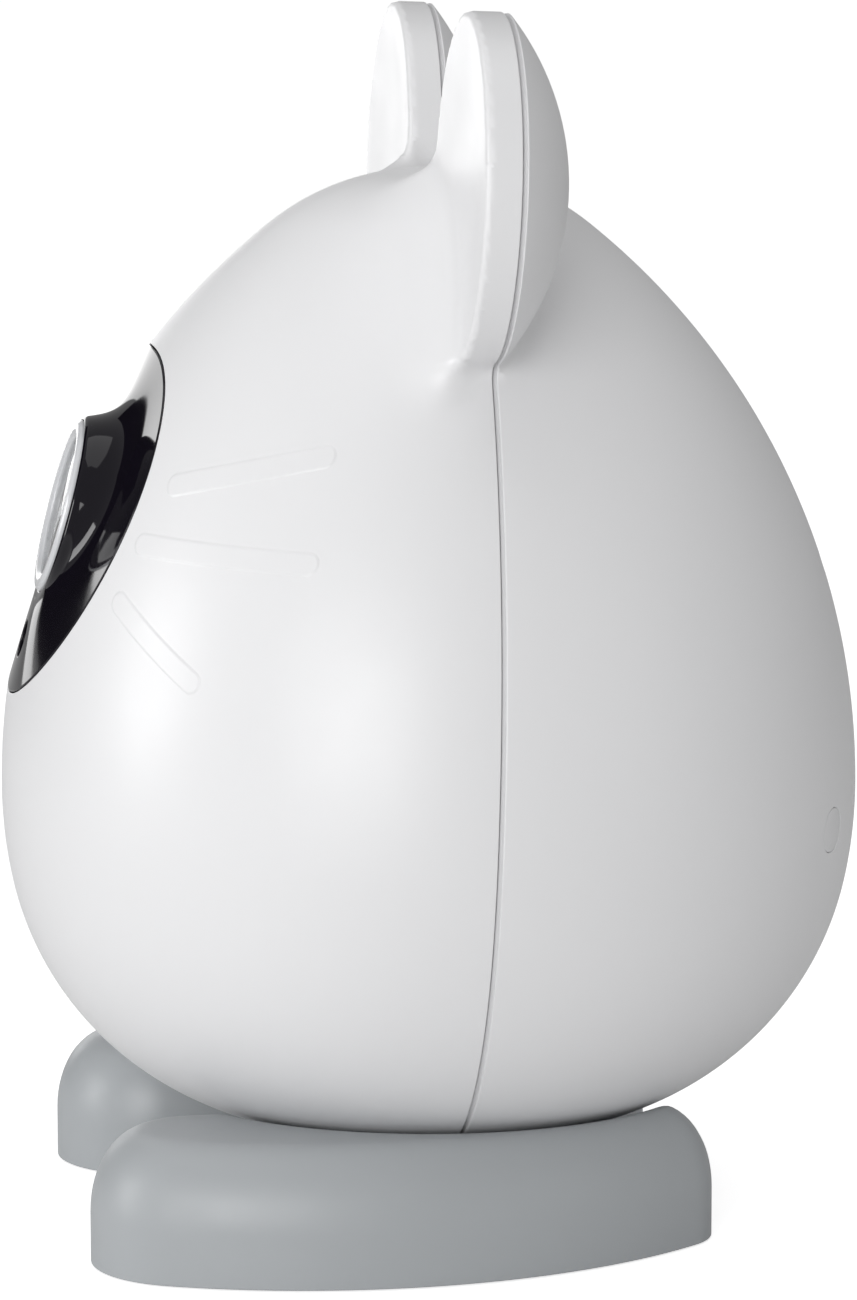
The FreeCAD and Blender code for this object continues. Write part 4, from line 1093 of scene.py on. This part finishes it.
def foot_ring():
    """Spots round the right foot's outline, each found by walking out from inside it."""
    ring = []
    for turn in np.radians(np.arange(0, 360, WALK_DEGREES)):
        direction = np.array([[math.cos(turn), math.sin(turn), 0.0]])
        spot = np.array([FOOT_INSIDE])
        for _ in range(WALK_ROUNDS):
            spot = spot - direction * foot_outline(spot)[:, None] * WALK_SHARE
        ring.append(spot[0])
    return np.array(ring)


def rough_foot(side):
    """One foot as a plain block that narrows to its top."""
    ring = foot_ring()
    middle = ring.mean(axis=0)
    levels = []
    for height, share in ROUGH_FOOT:
        level = (ring - middle) * share + middle
        level[:, 2] = height
        levels.append(level)
    points = np.concatenate(levels)
    points[:, 0] *= side
    count = len(ring)
    caps = [tuple(reversed(range(count))), tuple(range(len(points) - count, len(points)))]
    rough = bmesh.new()
    add_part(rough, points, caps + tube_faces(len(levels), count))
    return rough


def make_feet():
    """Both feet: one skin, mirrored."""
    for name, side in (("right", 1), ("left", -1)):
        mesh = skinned(rough_foot(side), FOOT_VOXEL, foot)
        refine(mesh, within(cradle, CRADLE_BAND), foot)
        make_shell(mesh, foot, foot_openings, widened(foot_openings, FOOT_LIP), FOOT_WALL)
        as_piece(f"{name}_foot_skin", mesh, "base", [f"{name}_foot"], "grey_feet", foot)


def paint_cad_nodes():
    """Every CAD node gets the finish of its slot."""
    slots = {entry["node"]: entry["material_slot"] for entry in frame["record"]["subparts"]}
    for name, node in frame["nodes"].items():
        node.data.materials.clear()
        node.data.materials.append(finish_for(slots[name]))


# ---- studio -----------------------------------------------------------------------------------

# place in metres, size and power of each soft light; the last is seen in gloss alone
LIGHTS = {
    "front": ((0.05, -1.0, 0.24), (0.3, 0.4), 2.7),
    "side": ((0.90, -0.45, 0.26), (0.55, 0.5), 4.1),
    "top": ((0.0, -0.05, 1.0), (0.7, 0.7), 1.5),
    "rear": ((0.7, 0.75, 0.3), (0.6, 0.6), 0.4),
    "lens_shine": ((-0.58, -0.11, 0.11), (0.36, 0.13), 0.24),
}
SHINE_ONLY = "lens_shine"
LIGHTS_MEET = Vector((0.0, 0.0, 0.06))
DAYLIGHT = 0.36

# the black board, and the floor's two sheets: reach in metres, and tone
FLAG_PLACE = (-0.371, -0.442, 0.235)
FLAG_SIZE = (0.48, 0.5)
FLAG_FACES = Vector((0.0, 0.0, 0.07))
FLOOR_REACH = 14.0
FLOOR_TONE = 0.86
FLOOR_GLOW = 0.72
BOUNCE_REACH = 3.0
BOUNCE_HEIGHT = -0.0005
BOUNCE_TONE = 0.84

# the view: turns from straight ahead and from level, metres, and millimetres of sensor and lens
CAMERA_AZIMUTH = math.radians(82.0)
CAMERA_ELEVATION = math.radians(8.0)
CAMERA_DISTANCE = 0.530
CAMERA_TARGET = Vector((0.0, 0.0, 0.056))
SENSOR_WIDTH = 36.0
FOCAL_LENGTH = 146.769231


def soft_light(name, place, size, power):
    """A rectangular soft light that looks at the camera body."""
    data = bpy.data.lights.new(name, "AREA")
    data.shape = "RECTANGLE"
    data.size, data.size_y = size
    data.energy = power
    light = bpy.data.objects.new(name, data)
    light.location = place
    light.rotation_euler = (LIGHTS_MEET - Vector(place)).to_track_quat("-Z", "Y").to_euler()
    light.visible_camera = False
    light.visible_diffuse = name != SHINE_ONLY
    bpy.context.scene.collection.objects.link(light)


def flat_sheet(name, reach, height, tone, glow):
    """A large level sheet of painted board."""
    data = bpy.data.meshes.new(name)
    data.from_pydata([(-reach, -reach, height), (reach, -reach, height),
                      (reach, reach, height), (-reach, reach, height)], [], [(0, 1, 2, 3)])
    sheet = bpy.data.objects.new(name, data)
    bpy.context.scene.collection.objects.link(sheet)
    made = Nodes(name + "_paint")
    made.colour(made.noise(3.0), (tone, tone, tone), (tone + 0.02, tone + 0.02, tone + 0.02))
    made.rough(made.noise(40.0), 0.85, 0.95)
    made.set(Emission_Color=(1.0, 1.0, 1.0, 1.0), Emission_Strength=glow, Specular_IOR_Level=0.1)
    data.materials.append(made.material)
    return sheet


def dark_flag():
    """A black board that only polished faces see: it keeps the dark panel dark."""
    sheet = flat_sheet("dark_flag", 1.0, 0.0, 0.0, 0.0)
    sheet.location = FLAG_PLACE
    sheet.scale = (FLAG_SIZE[0] / 2, FLAG_SIZE[1] / 2, 1.0)
    sheet.rotation_euler = (FLAG_FACES - Vector(FLAG_PLACE)).to_track_quat("Z", "Y").to_euler()
    sheet.visible_camera = False
    sheet.visible_diffuse = False
    sheet.visible_shadow = False
    sheet.visible_transmission = False


def make_floor():
    """A pale floor: one sheet is only seen, and the one just under it gives the bounced light."""
    seen = flat_sheet("floor", FLOOR_REACH, 0.0, FLOOR_TONE, FLOOR_GLOW)
    seen.visible_diffuse = False
    seen.visible_glossy = False
    seen.visible_transmission = False
    seen.visible_shadow = False
    bounce = flat_sheet("floor_bounce", BOUNCE_REACH, BOUNCE_HEIGHT, BOUNCE_TONE, 0.0)
    bounce.visible_camera = False


def make_studio():
    """The floor, an even white surround, the soft lights and the dark board."""
    make_floor()
    world = bpy.data.worlds.new("studio")
    world.use_nodes = True
    backdrop = world.node_tree.nodes["Background"]
    backdrop.inputs["Color"].default_value = (1.0, 1.0, 1.0, 1.0)
    backdrop.inputs["Strength"].default_value = DAYLIGHT
    bpy.context.scene.world = world
    for name, (place, size, power) in LIGHTS.items():
        soft_light(name, place, size, power)
    dark_flag()


def make_camera():
    """The camera looks from the right side, a little from the front and above."""
    level = math.cos(CAMERA_ELEVATION)
    back = Vector((math.sin(CAMERA_AZIMUTH) * level, -math.cos(CAMERA_AZIMUTH) * level,
                   math.sin(CAMERA_ELEVATION)))
    data = bpy.data.cameras.new("camera")
    data.sensor_width = SENSOR_WIDTH
    data.lens = FOCAL_LENGTH
    data.clip_start = 0.01
    data.clip_end = 50.0
    camera = bpy.data.objects.new("camera", data)
    camera.location = CAMERA_TARGET + back * CAMERA_DISTANCE
    camera.rotation_euler = back.to_track_quat("Z", "Y").to_euler()
    bpy.context.scene.collection.objects.link(camera)
    bpy.context.scene.camera = camera
    bpy.context.scene.view_settings.view_transform = "Standard"
    bpy.context.scene.view_settings.look = "None"


paint_cad_nodes()
make_shells()
make_face_panel()
make_lens()
make_button_and_plugs()
make_feet()
make_studio()
make_camera()
